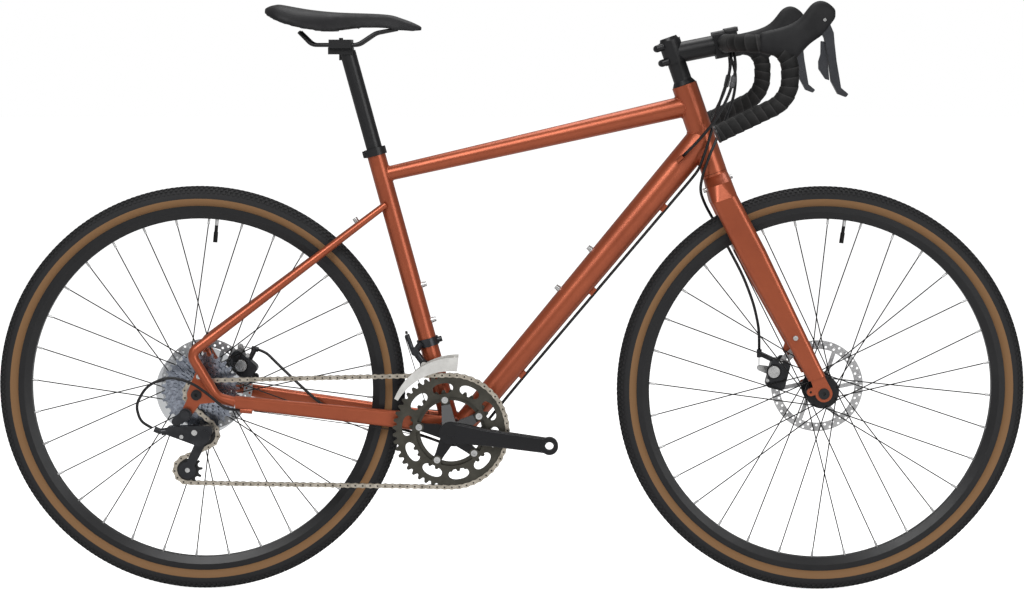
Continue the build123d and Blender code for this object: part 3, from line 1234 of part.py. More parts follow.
rail_points = [(post_head[0] - 78.0, 0.7, 22.0), (post_head[0] - 56.0, 1.0, 0.0), (post_head[0] + 22.0, 1.0, 0.0),
               (post_head[0] + 52.0, 0.75, 20.0), (post_head[0] + 88.0, 0.45, 27.0)]
with BuildPart() as saddle_rails:
    for side in (-1, 1):
        points = [(x, side * rail_spread * spread, rail_height + rise) for x, spread, rise in rail_points]
        bent_rod(points, [18, 24, 30], 3.5)
save(saddle_rails, "saddle_rails")

saddle_back = post_head[0] - 138.0
saddle_front = saddle_back + saddle_length
with BuildPart() as saddle:
    with BuildSketch(Plane.XY.offset(rail_height + 5.0)):
        with BuildLine():
            Polyline((saddle_back + 4.0, -38.0), (saddle_back + 26.0, -saddle_width / 2),
                     (saddle_back + 70.0, -saddle_width / 2 + 6.0), (saddle_back + 150.0, -32.0),
                     (saddle_front - 8.0, -19.0), (saddle_front, -10.0), (saddle_front, 10.0),
                     (saddle_front - 8.0, 19.0), (saddle_back + 150.0, 32.0),
                     (saddle_back + 70.0, saddle_width / 2 - 6.0), (saddle_back + 26.0, saddle_width / 2),
                     (saddle_back + 4.0, 38.0), close=True)
        make_face()
    extrude(amount=90.0)
    with BuildSketch(Plane.XZ):
        with BuildLine():
            Polyline((saddle_back + 6.0, rail_height + 65.0), (saddle_back + 60.0, rail_height + 59.0),
                     (saddle_front - 50.0, rail_height + 49.0), (saddle_front - 16.0, rail_height + 38.0),
                     (saddle_front + 1.0, rail_height + 28.0), (saddle_front - 10.0, rail_height + 24.0),
                     (saddle_front - 120.0, rail_height + 33.0), (saddle_back + 110.0, rail_height + 33.0),
                     (saddle_back + 30.0, rail_height + 34.0), (saddle_back, rail_height + 54.0), close=True)
        make_face()
    extrude(amount=100.0, both=True, mode=Mode.INTERSECT)
    for side in (-1, 1):
        for x, spread, rise in (rail_points[0], rail_points[-1]):
            rod((x - 30, side * rail_spread * spread, rail_height + rise),
                (x + 30, side * rail_spread * spread, rail_height + rise), 3.5 + soft_gap, Mode.SUBTRACT)
save(saddle, "saddle")

# ---- housings and cables ------------------------------------------------------------------
housing_radius = 2.5
adjuster_radius = 4.2
wire_radius = 0.7
guide_out = 6.5
# the shift housings drop from the bar, pass either side of the head tube and end on the down tube
shift_points = [(bar_x + 10.4, 52.0, bar_z - 13.15), (bar_x + 14.0, 55.0, bar_z - 42.0),
                (bar_x + 4.0, 54.0, bar_z - 84.0), (bar_x - 18.0, 48.0, bar_z - 128.0),
                (bar_x - 46.0, 38.0, bar_z - 163.0), down(shift_stop_along, -7.5, 29.5)]
# the rear brake housing comes down on the right of the head tube and turns under the down tube
rear_brake_points = [(bar_x + 7.4, -37.0, bar_z - 13.0), (bar_x + 5.0, -40.0, bar_z - 50.0),
                     (bar_x - 14.0, -38.0, bar_z - 106.0), (bar_x - 27.0, -35.0, bar_z - 156.0),
                     (bar_x - 37.0, -32.0, bar_z - 190.0), (bar_x - 45.0, -20.0, bar_z - 214.0),
                     down(0.90 * down_length, down_radius(0.90) + guide_out),
                     down(0.86 * down_length, down_radius(0.86) + guide_out)]
# the front brake housing crosses before the head tube and comes round behind the crown to the left blade
front_brake_points = [(bar_x + 8.4, 37.0, bar_z - 11.8), (bar_x + 22.0, 33.0, bar_z - 50.0),
                      (bar_x + 18.0, 16.0, bar_z - 86.0), (bar_x + 5.0, -12.0, bar_z - 118.0),
                      (bar_x - 12.0, -34.0, bar_z - 152.0), (bar_x - 28.0, -39.0, bar_z - 188.0),
                      (bar_x - 39.0, -31.0, bar_z - 222.0), (bar_x - 42.0, -11.0, bar_z - 250.0),
                      (bar_x - 31.0, 12.0, bar_z - 276.0), (bar_x - 13.0, 32.0, bar_z - 306.0),
                      (bar_x + 12.0, 41.0, bar_z - 352.0), (bar_x + 40.0, 46.0, bar_z - 404.0),
                      (bar_x + 59.0, 51.0, bar_z - 454.0), (bar_x + 69.0, front_stop_y - 2.0, bar_z - 497.0),
                      front_stop_end]
with BuildPart() as control_housings:
    for side in (-1, 1):
        housing([mirrored(point, side) for point in shift_points], housing_radius)
        adjuster = Vector(*shift_points[1]) - Vector(*shift_points[2])
        adjuster_top = Vector(*shift_points[1]) - adjuster * 0.3
        rod(mirrored(adjuster_top, side), mirrored(adjuster_top - adjuster * 0.45, side), adjuster_radius)
    housing(rear_brake_points, housing_radius)
    housing(front_brake_points, housing_radius)
    rod(front_stop_end, (front_stop_end[0] - 0.1, front_stop_y, front_caliper[1] + 13.0), wire_radius)
save(control_housings, "control_housings")

# under the down tube, below the crank shell and along the left chainstay to the rear caliper
frame_brake_points = [down(0.86 * down_length, down_radius(0.86) + guide_out),
                      down(0.20 * down_length, down_radius(0.20) + guide_out),
                      (bb_x + 30.0, 3.0, bb_z - 30.0), (bb_x - 3.0, 12.0, bb_z - 35.0),
                      (bb_x - 42.0, 22.0, bb_z - 22.0), (bb_x - 101.0, 30.0, bb_z - 4.0),
                      (bb_x - 180.0, 39.0, bb_z + 8.0), (bb_x - 228.0, 39.0, bb_z + 32.0),
                      (bb_x - 266.0, 47.0, bb_z + 65.0), (bb_x - 303.0, 63.0, bb_z + 97.0),
                      (bb_x - 328.0, 76.0, bb_z + 119.0), rear_stop_end]
with BuildPart() as frame_housings:
    housing(frame_brake_points, housing_radius)
    rod(rear_stop_end, (rear_caliper_x + 0.3, rear_stop_y, rear_caliper_z + 29.1), wire_radius)
    rod((stop_x + 12.6, -stop_y, stop_z - 1.0), (bb_x - 101.0, -30.0, bb_z), wire_radius)
    rod((bb_x - 101.0, -30.0, bb_z), (bb_x - 14.0, -15.0, bb_z - 23.5), wire_radius)
    rod(seat(-30.0, -22.0, 179.0), seat(-30.0, -22.0, 184.0), 2.2)
    rod(seat(-34.4, -22.0, 176.0), (bb_x - 34.0, -11.0, bb_z + 8.0), wire_radius)
save(frame_housings, "frame_housings")
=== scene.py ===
import bmesh
import bpy
from math import asin, atan2, ceil, cos, hypot, pi, radians, sin, sqrt, tan
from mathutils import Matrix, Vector
from mathutils.geometry import tessellate_polygon


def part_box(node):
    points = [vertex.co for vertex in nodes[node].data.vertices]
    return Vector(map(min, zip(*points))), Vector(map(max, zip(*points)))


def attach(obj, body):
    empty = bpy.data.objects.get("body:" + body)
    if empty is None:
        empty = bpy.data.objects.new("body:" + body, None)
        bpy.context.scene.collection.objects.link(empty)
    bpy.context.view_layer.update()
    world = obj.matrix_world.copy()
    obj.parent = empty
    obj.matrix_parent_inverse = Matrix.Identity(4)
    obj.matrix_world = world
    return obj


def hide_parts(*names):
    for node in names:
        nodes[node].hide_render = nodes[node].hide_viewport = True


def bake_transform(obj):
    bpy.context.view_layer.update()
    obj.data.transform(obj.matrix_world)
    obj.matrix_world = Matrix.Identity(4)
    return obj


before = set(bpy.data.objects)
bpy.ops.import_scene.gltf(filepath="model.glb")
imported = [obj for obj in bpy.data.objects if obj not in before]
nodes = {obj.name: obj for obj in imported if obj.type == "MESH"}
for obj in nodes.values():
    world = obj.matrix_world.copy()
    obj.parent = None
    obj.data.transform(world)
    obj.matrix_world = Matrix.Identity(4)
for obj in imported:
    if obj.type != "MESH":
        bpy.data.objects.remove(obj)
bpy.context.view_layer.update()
print("frame loaded:", len(nodes), "nodes")

mm = 0.001
axleX = 533.5 * mm
axleZ = 351.0 * mm


# shared shader groups
def newGroup(name, inputs, outputs):
    group = bpy.data.node_groups.new(name, "ShaderNodeTree")
    for socketName, kind, value in inputs:
        socket = group.interface.new_socket(socketName, in_out="INPUT", socket_type=kind)
        if value is not None:
            socket.default_value = value
    for socketName, kind in outputs:
        group.interface.new_socket(socketName, in_out="OUTPUT", socket_type=kind)
    start = group.nodes.new("NodeGroupInput")
    end = group.nodes.new("NodeGroupOutput")
    return group, start, end


def toneGroup():
    # soft patches between two tones, with their mask
    group, start, end = newGroup("tonePatches", [
        ("Vector", "NodeSocketVector", None), ("Light", "NodeSocketColor", (1, 1, 1, 1)),
        ("Dark", "NodeSocketColor", (0, 0, 0, 1)), ("Scale", "NodeSocketFloat", 8.0)],
        [("Color", "NodeSocketColor"), ("Mask", "NodeSocketFloat")])
    noise = group.nodes.new("ShaderNodeTexNoise")
    noise.inputs["Detail"].default_value = 4
    noise.inputs["Roughness"].default_value = 0.6
    spread = group.nodes.new("ShaderNodeMapRange")
    spread.inputs["From Min"].default_value = 0.3
    spread.inputs["From Max"].default_value = 0.7
    mix = group.nodes.new("ShaderNodeMix")
    mix.data_type = "RGBA"
    link = group.links.new
    link(start.outputs["Vector"], noise.inputs["Vector"])
    link(start.outputs["Scale"], noise.inputs["Scale"])
    link(noise.outputs["Fac"], spread.inputs["Value"])
    link(spread.outputs["Result"], mix.inputs["Factor"])
    link(start.outputs["Light"], mix.inputs["A"])
    link(start.outputs["Dark"], mix.inputs["B"])
    link(mix.outputs["Result"], end.inputs["Color"])
    link(spread.outputs["Result"], end.inputs["Mask"])
    return group


def grainGroup():
    # fine raised grain, as a normal
    group, start, end = newGroup("fineGrain", [
        ("Vector", "NodeSocketVector", None), ("Scale", "NodeSocketFloat", 900.0),
        ("Strength", "NodeSocketFloat", 0.2), ("Height", "NodeSocketFloat", 0.0002)],
        [("Normal", "NodeSocketVector")])
    noise = group.nodes.new("ShaderNodeTexNoise")
    noise.inputs["Detail"].default_value = 3
    bump = group.nodes.new("ShaderNodeBump")
    link = group.links.new
    link(start.outputs["Vector"], noise.inputs["Vector"])
    link(start.outputs["Scale"], noise.inputs["Scale"])
    link(start.outputs["Strength"], bump.inputs["Strength"])
    link(start.outputs["Height"], bump.inputs["Distance"])
    link(noise.outputs["Fac"], bump.inputs["Height"])
    link(bump.outputs["Normal"], end.inputs["Normal"])
    return group


def wheelRadiusGroup():
    # distance from the nearer axle in the wheel's plane, in metres
    group, start, end = newGroup("wheelRadius", [("Vector", "NodeSocketVector", None)],
                                 [("Radius", "NodeSocketFloat")])
    split = group.nodes.new("ShaderNodeSeparateXYZ")
    join = group.nodes.new("ShaderNodeCombineXYZ")
    away = group.nodes.new("ShaderNodeMath")
    away.operation = "ABSOLUTE"
    fromAxle = group.nodes.new("ShaderNodeMath")
    fromAxle.operation = "SUBTRACT"
    fromAxle.inputs[1].default_value = axleX
    above = group.nodes.new("ShaderNodeMath")
    above.operation = "SUBTRACT"
    above.inputs[1].default_value = axleZ
    size = group.nodes.new("ShaderNodeVectorMath")
    size.operation = "LENGTH"
    link = group.links.new
    link(start.outputs["Vector"], split.inputs["Vector"])
    link(split.outputs["X"], away.inputs[0])
    link(away.outputs["Value"], fromAxle.inputs[0])
    link(split.outputs["Z"], above.inputs[0])
    link(fromAxle.outputs["Value"], join.inputs["X"])
    link(above.outputs["Value"], join.inputs["Z"])
    link(join.outputs["Vector"], size.inputs[0])
    link(size.outputs["Value"], end.inputs["Radius"])
    return group


tonePatches = toneGroup()
fineGrain = grainGroup()
wheelRadius = wheelRadiusGroup()


def useGroup(tree, group, **values):
    node = tree.nodes.new("ShaderNodeGroup")
    node.node_tree = group
    for name, value in values.items():
        node.inputs[name].default_value = value
    return node


def groupNode(tree, group):
    return next(node for node in tree.nodes if node.type == "GROUP" and node.node_tree == group)


def makeFinish(name, light, dark, rough, metal=0.0, patchScale=8.0, grain=0.15, grainScale=900.0,
               grainHeight=0.0002, roughSpread=0.06, coat=0.0, coatRough=0.1, sheen=0.0, specular=0.5):
    material = bpy.data.materials.new(name)
    material.use_nodes = True
    tree = material.node_tree
    shader = tree.nodes["Principled BSDF"]
    place = tree.nodes.new("ShaderNodeTexCoord")
    tones = useGroup(tree, tonePatches, Light=(*light, 1), Dark=(*dark, 1), Scale=patchScale)
    grains = useGroup(tree, fineGrain, Scale=grainScale, Strength=grain, Height=grainHeight)
    spread = tree.nodes.new("ShaderNodeMapRange")
    spread.inputs["To Min"].default_value = rough
    spread.inputs["To Max"].default_value = rough + roughSpread
    link = tree.links.new
    link(place.outputs["Object"], tones.inputs["Vector"])
    link(place.outputs["Object"], grains.inputs["Vector"])
    link(tones.outputs["Color"], shader.inputs["Base Color"])
    link(tones.outputs["Mask"], spread.inputs["Value"])
    link(spread.outputs["Result"], shader.inputs["Roughness"])
    link(grains.outputs["Normal"], shader.inputs["Normal"])
    shader.inputs["Metallic"].default_value = metal
    shader.inputs["Coat Weight"].default_value = coat
    shader.inputs["Coat Roughness"].default_value = coatRough
    shader.inputs["Sheen Weight"].default_value = sheen
    shader.inputs["Specular IOR Level"].default_value = specular
    return material


def bandFinish(name, bands, rough, metal=0.0, grainScale=700.0, grain=0.3):
    # colour by distance from the wheel's axle: bands are (outer radius in mm, colour)
    reach = 0.4  # metres that the ramp spans
    material = makeFinish(name, (0.02, 0.02, 0.02), (0.03, 0.03, 0.03), rough, metal,
                          grain=grain, grainScale=grainScale)
    tree = material.node_tree
    place = tree.nodes["Texture Coordinate"]
    radius = useGroup(tree, wheelRadius)
    tree.links.new(place.outputs["Object"], radius.inputs["Vector"])
    ramp = tree.nodes.new("ShaderNodeValToRGB")
    ramp.color_ramp.interpolation = "CONSTANT"
    spread = tree.nodes.new("ShaderNodeMapRange")
    spread.inputs["From Min"].default_value = 0.0
    spread.inputs["From Max"].default_value = reach
    tree.links.new(radius.outputs["Radius"], spread.inputs["Value"])
    tree.links.new(spread.outputs["Result"], ramp.inputs["Fac"])
    elements = ramp.color_ramp.elements
    elements[0].position = 0.0
    elements[0].color = (*bands[0][1], 1)
    elements.remove(elements[1])
    for k in range(1, len(bands)):
        element = elements.new(bands[k - 1][0] * mm / reach)
        element.color = (*bands[k][1], 1)
    tree.links.new(ramp.outputs["Color"], tree.nodes["Principled BSDF"].inputs["Base Color"])
    return material


black = ((0.010, 0.010, 0.011), (0.006, 0.006, 0.007))
finishSize = {
    "copperPaint": dict(light=(0.40, 0.090, 0.035), dark=(0.32, 0.068, 0.026), rough=0.32, metal=0.6,
                        patchScale=14.0, grain=0.14, grainScale=5200.0, grainHeight=0.00006,
                        roughSpread=0.05, coat=0.2, coatRough=0.3),
    "satinBlack": dict(light=black[0], dark=black[1], rough=0.34, patchScale=20.0, grain=0.1,
                       specular=0.4),
    "glossBlack": dict(light=(0.007, 0.007, 0.009), dark=(0.004, 0.004, 0.005), rough=0.33,
                       patchScale=12.0, grain=0.03, grainHeight=0.0001, roughSpread=0.05, coat=0.15,
                       coatRough=0.2, specular=0.3),
    "darkGrey": dict(light=(0.050, 0.051, 0.056), dark=(0.026, 0.027, 0.030), rough=0.28, metal=0.7,
                     patchScale=30.0, grain=0.1),
    "leverGrey": dict(light=(0.080, 0.082, 0.090), dark=(0.050, 0.052, 0.058), rough=0.27, metal=0.8,
                      patchScale=22.0, grain=0.06),
    "ringGrey": dict(light=(0.088, 0.083, 0.068), dark=(0.050, 0.047, 0.038), rough=0.36, metal=0.7,
                     patchScale=40.0, grain=0.1),
    "silver": dict(light=(0.70, 0.70, 0.69), dark=(0.50, 0.50, 0.50), rough=0.24, metal=0.9,
                   patchScale=60.0, grain=0.08),
    "cageSilver": dict(light=(0.82, 0.81, 0.78), dark=(0.66, 0.65, 0.62), rough=0.28, metal=0.6,
                       patchScale=50.0, grain=0.08),
    "cogSilver": dict(light=(0.42, 0.45, 0.52), dark=(0.16, 0.18, 0.22), rough=0.22, metal=1.0,
                      patchScale=140.0, grain=0.2, grainScale=600.0),
    "rotorSteel": dict(light=(0.60, 0.60, 0.60), dark=(0.46, 0.46, 0.47), rough=0.28, metal=0.9,
                       patchScale=70.0, grain=0.12, grainScale=1600.0),
    "chainSteel": dict(light=(0.66, 0.60, 0.51), dark=(0.36, 0.32, 0.26), rough=0.26, metal=0.9,
                       patchScale=110.0, grain=0.1),
    "rollerDark": dict(light=(0.10, 0.09, 0.08), dark=(0.05, 0.045, 0.04), rough=0.35, metal=0.9,
                       patchScale=110.0, grain=0.1),
    "rubber": dict(light=black[0], dark=black[1], rough=0.60, patchScale=40.0, grain=0.35,
                   grainScale=1300.0, specular=0.3),
    "sheath": dict(light=(0.009, 0.009, 0.010), dark=(0.005, 0.005, 0.006), rough=0.36,
                   patchScale=40.0, grain=0.05, specular=0.4),
    "adjusterGrey": dict(light=(0.12, 0.12, 0.125), dark=(0.08, 0.08, 0.085), rough=0.4, metal=0.3,
                         patchScale=30.0, grain=0.1),
    "plastic": dict(light=(0.012, 0.012, 0.012), dark=(0.007, 0.007, 0.007), rough=0.42,
                    patchScale=30.0, grain=0.1),
    "leather": dict(light=(0.010, 0.0095, 0.011), dark=black[1], rough=0.50, patchScale=30.0,
                    grain=0.45, grainScale=1500.0, grainHeight=0.00025, roughSpread=0.1,
                    specular=0.35),
}
finishes = {name: makeFinish(name, **size) for name, size in finishSize.items()}
finishes["spokeBands"] = bandFinish("spokeBands", [(284, (0.012, 0.012, 0.012)), (400, (0.55, 0.55, 0.55))],
                                    0.3, metal=0.7, grainScale=400, grain=0.0)
finishes["tyreBands"] = bandFinish("tyreBands", [(328.5, (0.21, 0.108, 0.042)), (400, (0.009, 0.009, 0.010))],
                                   0.74)


def clearFinish():
    material = bpy.data.materials.new("clearDisc")
    material.use_nodes = True
    tree = material.node_tree
    shader = tree.nodes["Principled BSDF"]
    place = tree.nodes.new("ShaderNodeTexCoord")
    grains = useGroup(tree, fineGrain, Scale=300.0, Strength=0.05, Height=0.0001)
    tree.links.new(place.outputs["Object"], grains.inputs["Vector"])
    tree.links.new(grains.outputs["Normal"], shader.inputs["Normal"])
    shader.inputs["Base Color"].default_value = (0.93, 0.95, 0.97, 1)
    shader.inputs["Roughness"].default_value = 0.05
    shader.inputs["Transmission Weight"].default_value = 1.0
    shader.inputs["IOR"].default_value = 1.2
    return material


finishes["clearDisc"] = clearFinish()

nodeFinishes = {
    "copperPaint": ["head_tube", "top_tube", "down_tube", "seat_tube", "bottom_bracket_shell", "chainstays",
                    "seatstays", "dropouts", "fork_crown", "fork_blades"],
    "satinBlack": ["seat_clamp", "frame_bearings", "stem", "stem_faceplate", "handlebar", "headset_spacers",
                   "seatpost", "rear_axle", "front_axle", "front_rim", "rear_rim", "saddle_rails"],
    "glossBlack": ["drive_crank", "left_crank", "front_hub", "rear_hub"],
    "darkGrey": ["rear_derailleur_mount", "rear_derailleur_body", "rear_derailleur_cage",
                 "front_derailleur_clamp", "front_brake_caliper", "rear_brake_caliper"],
    "leverGrey": ["brake_lever_right", "brake_lever_left", "shift_paddle_right", "shift_paddle_left"],
    "ringGrey": ["chainrings"],
    "silver": ["frame_bolts", "fork_bolts", "chainring_bolts", "front_caliper_arm", "rear_caliper_arm"],
    "cageSilver": ["front_derailleur_cage"],
    "cogSilver": ["cassette"],
    "rotorSteel": ["front_rotor", "rear_rotor"],
    "chainSteel": ["chain"],
    "rubber": ["hoods", "bar_tape"],
    "sheath": ["control_housings", "frame_housings", "shift_loop"],
    "plastic": ["guide_pulley", "tension_pulley"],
    "leather": ["saddle"],
    "spokeBands": ["front_spokes", "rear_spokes"],
    "tyreBands": ["front_tyre", "rear_tyre"],
    "clearDisc": ["spoke_protector"],
}
for finish, names in nodeFinishes.items():
    for name in names:
        slots = nodes[name].data.materials
        slots.clear()
        slots.append(finishes[finish])
print("finishes set")


# mesh helpers
def meshPiece(name, vertices, faces, finish, smooth=True):
    mesh = bpy.data.meshes.new(name)
    mesh.from_pydata([tuple(v) for v in vertices], [], faces)
    mesh.validate()
    mesh.materials.append(finishes[finish])
    if smooth:
        mesh.polygons.foreach_set("use_smooth", [True] * len(mesh.polygons))
    piece = bpy.data.objects.new(name, mesh)
    bpy.context.scene.collection.objects.link(piece)
    return piece


def outward(piece):
    # merge doubles and turn every face outwards
    work = bmesh.new()
    work.from_mesh(piece.data)
    bmesh.ops.remove_doubles(work, verts=work.verts, dist=1e-6)
    bmesh.ops.recalc_face_normals(work, faces=work.faces)
    work.to_mesh(piece.data)
    work.free()


def applyModifiers(piece):
    graph = bpy.context.evaluated_depsgraph_get()
    made = bpy.data.meshes.new_from_object(piece.evaluated_get(graph))
    piece.modifiers.clear()
    piece.data = made


def subdivide(piece, levels):
    modifier = piece.modifiers.new("smooth", "SUBSURF")
    modifier.levels = levels
    modifier.render_levels = levels
    applyModifiers(piece)
    piece.data.polygons.foreach_set("use_smooth", [True] * len(piece.data.polygons))


def inflate(piece, size):
    # swell a closed cover with cloth pressure, each point moving no further than the cap
    even = piece.modifiers.new("even", "REMESH")
    even.mode = "VOXEL"
    even.voxel_size = size["voxel"] * mm
    applyModifiers(piece)
    before = [v.co.copy() for v in piece.data.vertices]
    cloth = piece.modifiers.new("cloth", "CLOTH")
    cloth.settings.use_pressure = True
    cloth.settings.uniform_pressure_force = size["pressure"]
    cloth.settings.effector_weights.gravity = 0
    for number in range(1, size["frames"] + 1):
        bpy.context.scene.frame_set(number)
    swollen = piece.evaluated_get(bpy.context.evaluated_depsgraph_get()).to_mesh()
    after = [v.co.copy() for v in swollen.vertices]
    piece.modifiers.clear()
    for vertex, old, new in zip(piece.data.vertices, before, after):
        move = new - old
        vertex.co = old + move * min(1.0, size["cap"] * mm / max(move.length, 1e-9))
    bpy.context.scene.frame_set(1)
    subdivide(piece, 1)


def loftRings(rings, capStart=True, capEnd=True):
    # closed rings of the same count, joined in order
    count = len(rings[0])
    vertices = [p for ring in rings for p in ring]
    faces = []
    for r in range(len(rings) - 1):
        for k in range(count):
            a, b = r * count + k, r * count + (k + 1) % count
            faces.append((a, b, b + count, a + count))
    if capStart:
        faces.append(tuple(reversed(range(count))))
    if capEnd:
        faces.append(tuple(range((len(rings) - 1) * count, len(rings) * count)))
    return vertices, faces


def roundedPath(points, bends, step):
    # straight runs joined by tangent arcs, as evenly spaced points
    points = [Vector(p) for p in points]
    out = [points[0]]
    for before, here, after, bend in zip(points, points[1:], points[2:], bends):
        u = (before - here).normalized()
        w = (after - here).normalized()
        half = u.angle(w) / 2
        reach = bend / tan(half)
        centre = here + (u + w).normalized() * (bend / sin(half))
        first, last = here + u * reach, here + w * reach
        turn = pi - 2 * half
        steps = max(3, ceil(bend * turn / step))
        a, b = first - centre, last - centre
        for k in range(steps + 1):
            t = k / steps
            out.append(centre + (a * sin((1 - t) * turn) + b * sin(t * turn)) / sin(turn))
    out.append(points[-1])
    even = [out[0]]
    for p, q in zip(out, out[1:]):
        pieces = max(1, round((q - p).length / step))
        even += [p.lerp(q, (k + 1) / pieces) for k in range(pieces)]
    return even


# Geometry Nodes helpers
def newTree(name, inputs):
    tree = bpy.data.node_groups.new(name, "GeometryNodeTree")
    tree.interface.new_socket("Geometry", in_out="OUTPUT", socket_type="NodeSocketGeometry")
    tree.interface.new_socket("Geometry", in_out="INPUT", socket_type="NodeSocketGeometry")
    for socketName, kind in inputs:
        tree.interface.new_socket(socketName, in_out="INPUT", socket_type=kind)
    return tree, tree.nodes.new("NodeGroupInput"), tree.nodes.new("NodeGroupOutput")


def runTree(piece, tree, values):
    modifier = piece.modifiers.new(tree.name, "NODES")
    modifier.node_group = tree
    identifiers = {s.name: s.identifier for s in tree.interface.items_tree
                   if s.item_type == "SOCKET" and s.in_out == "INPUT"}
    for name, value in values.items():
        modifier[identifiers[name]] = value
    applyModifiers(piece)


def knobTree():
    # a ring of tread blocks round an axle along Y
    tree, start, end = newTree("treadRing", [
        ("Count", "NodeSocketInt"), ("Ring Radius", "NodeSocketFloat"), ("Phase", "NodeSocketFloat"),
        ("Block Size", "NodeSocketVector"), ("Tilt", "NodeSocketFloat"), ("Place", "NodeSocketVector"),
        ("Finish", "NodeSocketMaterial")])
    add = tree.nodes.new
    link = tree.links.new
    ring = add("GeometryNodeMeshCircle")
    block = add("GeometryNodeMeshCube")
    onPoints = add("GeometryNodeInstanceOnPoints")
    position = add("GeometryNodeInputPosition")
    align = add("FunctionNodeAlignRotationToVector")
    align.axis = "X"
    align.pivot_axis = "Z"
    tilt = add("FunctionNodeRotateRotation")
    tilt.rotation_space = "LOCAL"
    tiltVector = add("ShaderNodeCombineXYZ")
    phaseVector = add("ShaderNodeCombineXYZ")
    turnPhase = add("GeometryNodeTransform")
    stand = add("GeometryNodeTransform")
    stand.inputs["Rotation"].default_value = (pi / 2, 0, 0)
    realize = add("GeometryNodeRealizeInstances")
    setFinish = add("GeometryNodeSetMaterial")
    link(start.outputs["Count"], ring.inputs["Vertices"])
    link(start.outputs["Ring Radius"], ring.inputs["Radius"])
    link(start.outputs["Block Size"], block.inputs["Size"])
    link(ring.outputs["Mesh"], onPoints.inputs["Points"])
    link(block.outputs["Mesh"], onPoints.inputs["Instance"])
    link(position.outputs["Position"], align.inputs["Vector"])
    link(start.outputs["Tilt"], tiltVector.inputs["Y"])
    link(align.outputs["Rotation"], tilt.inputs["Rotation"])
    link(tiltVector.outputs["Vector"], tilt.inputs["Rotate By"])
    link(tilt.outputs["Rotation"], onPoints.inputs["Rotation"])
    link(onPoints.outputs["Instances"], turnPhase.inputs["Geometry"])
    link(start.outputs["Phase"], phaseVector.inputs["Z"])
    link(phaseVector.outputs["Vector"], turnPhase.inputs["Rotation"])
    link(turnPhase.outputs["Geometry"], stand.inputs["Geometry"])
    link(start.outputs["Place"], stand.inputs["Translation"])
    link(stand.outputs["Geometry"], realize.inputs["Geometry"])
    link(realize.outputs["Geometry"], setFinish.inputs["Geometry"])
    link(start.outputs["Finish"], setFinish.inputs["Material"])
    link(setFinish.outputs["Geometry"], end.inputs["Geometry"])
    return tree


def beadTree():
    # small round beads on every point, a little uneven in size
    tree, start, end = newTree("weldBeads", [
        ("Bead Radius", "NodeSocketFloat"), ("Seed", "NodeSocketInt"), ("Finish", "NodeSocketMaterial")])
    add = tree.nodes.new
    link = tree.links.new
    bead = add("GeometryNodeMeshUVSphere")
    bead.inputs["Segments"].default_value = 8
    bead.inputs["Rings"].default_value = 5
    uneven = add("FunctionNodeRandomValue")
    uneven.inputs[2].default_value = 0.85
    uneven.inputs[3].default_value = 1.1
    onPoints = add("GeometryNodeInstanceOnPoints")
    realize = add("GeometryNodeRealizeInstances")
    smooth = add("GeometryNodeSetShadeSmooth")
    setFinish = add("GeometryNodeSetMaterial")
    link(start.outputs["Bead Radius"], bead.inputs["Radius"])
    link(start.outputs["Geometry"], onPoints.inputs["Points"])
    link(bead.outputs["Mesh"], onPoints.inputs["Instance"])
    link(start.outputs["Seed"], uneven.inputs["Seed"])
    link(uneven.outputs[1], onPoints.inputs["Scale"])
    link(onPoints.outputs["Instances"], realize.inputs["Geometry"])
    link(realize.outputs["Geometry"], smooth.inputs["Geometry"])
    link(smooth.outputs["Geometry"], setFinish.inputs["Geometry"])
    link(start.outputs["Finish"], setFinish.inputs["Material"])
    link(setFinish.outputs["Geometry"], end.inputs["Geometry"])
    return tree


# flat plates with holes
def plateMesh(outline, holes, front, back):
    # loops of (x, z) in mm, joined between two y values
    loops = [outline] + holes
    flat = [Vector((x, z, 0)) for loop in loops for x, z in loop]
    triangles = tessellate_polygon([[Vector((x, z, 0)) for x, z in loop] for loop in loops])
    count = len(flat)
    vertices = [Vector((p.x, front, p.y)) * mm for p in flat] + [Vector((p.x, back, p.y)) * mm for p in flat]
    faces = [tuple(t) for t in triangles] + [tuple(k + count for k in reversed(t)) for t in triangles]
    start = 0
    for loop in loops:
        for k in range(len(loop)):
            a, b = start + k, start + (k + 1) % len(loop)
            faces.append((a, b, b + count, a + count))
        start += len(loop)
    return vertices, faces


def joinMeshes(name, groups, finishNames):
    # each group is (vertices, faces, slot number)
    vertices, faces, slotNumbers = [], [], []
    for groupVertices, groupFaces, number in groups:
        shift = len(vertices)
        vertices += groupVertices
        faces += [tuple(k + shift for k in face) for face in groupFaces]
        slotNumbers += [number] * len(groupFaces)
    piece = meshPiece(name, vertices, faces, finishNames[0], False)
    for finish in finishNames[1:]:
        piece.data.materials.append(finishes[finish])
    piece.data.polygons.foreach_set("material_index", slotNumbers)
    outward(piece)
    return piece


def drum(centre, radius, front, back, count=24, hollow=0.0):
    # a round piece along Y with an optional blind dish of that radius
    dish, ease, tight = 0.6, 0.3, 0.01  # dish depth, eased edge and smallest ring
    way = 1 if back > front else -1
    stations = [(front, 0.0)]
    if hollow:
        stations = [(front + dish, 0.0), (front + dish, hollow), (front, hollow)]
    stations += [(front, radius - ease), (front + ease * way, radius), (back, radius), (back, 0.0)]
    rings = []
    for y, r in stations:
        r = max(r, tight)
        turns = [2 * pi * k / count for k in range(count)]
        rings.append([Vector((centre[0] + r * cos(a), y, centre[1] + r * sin(a))) * mm for a in turns])
    return loftRings(rings)


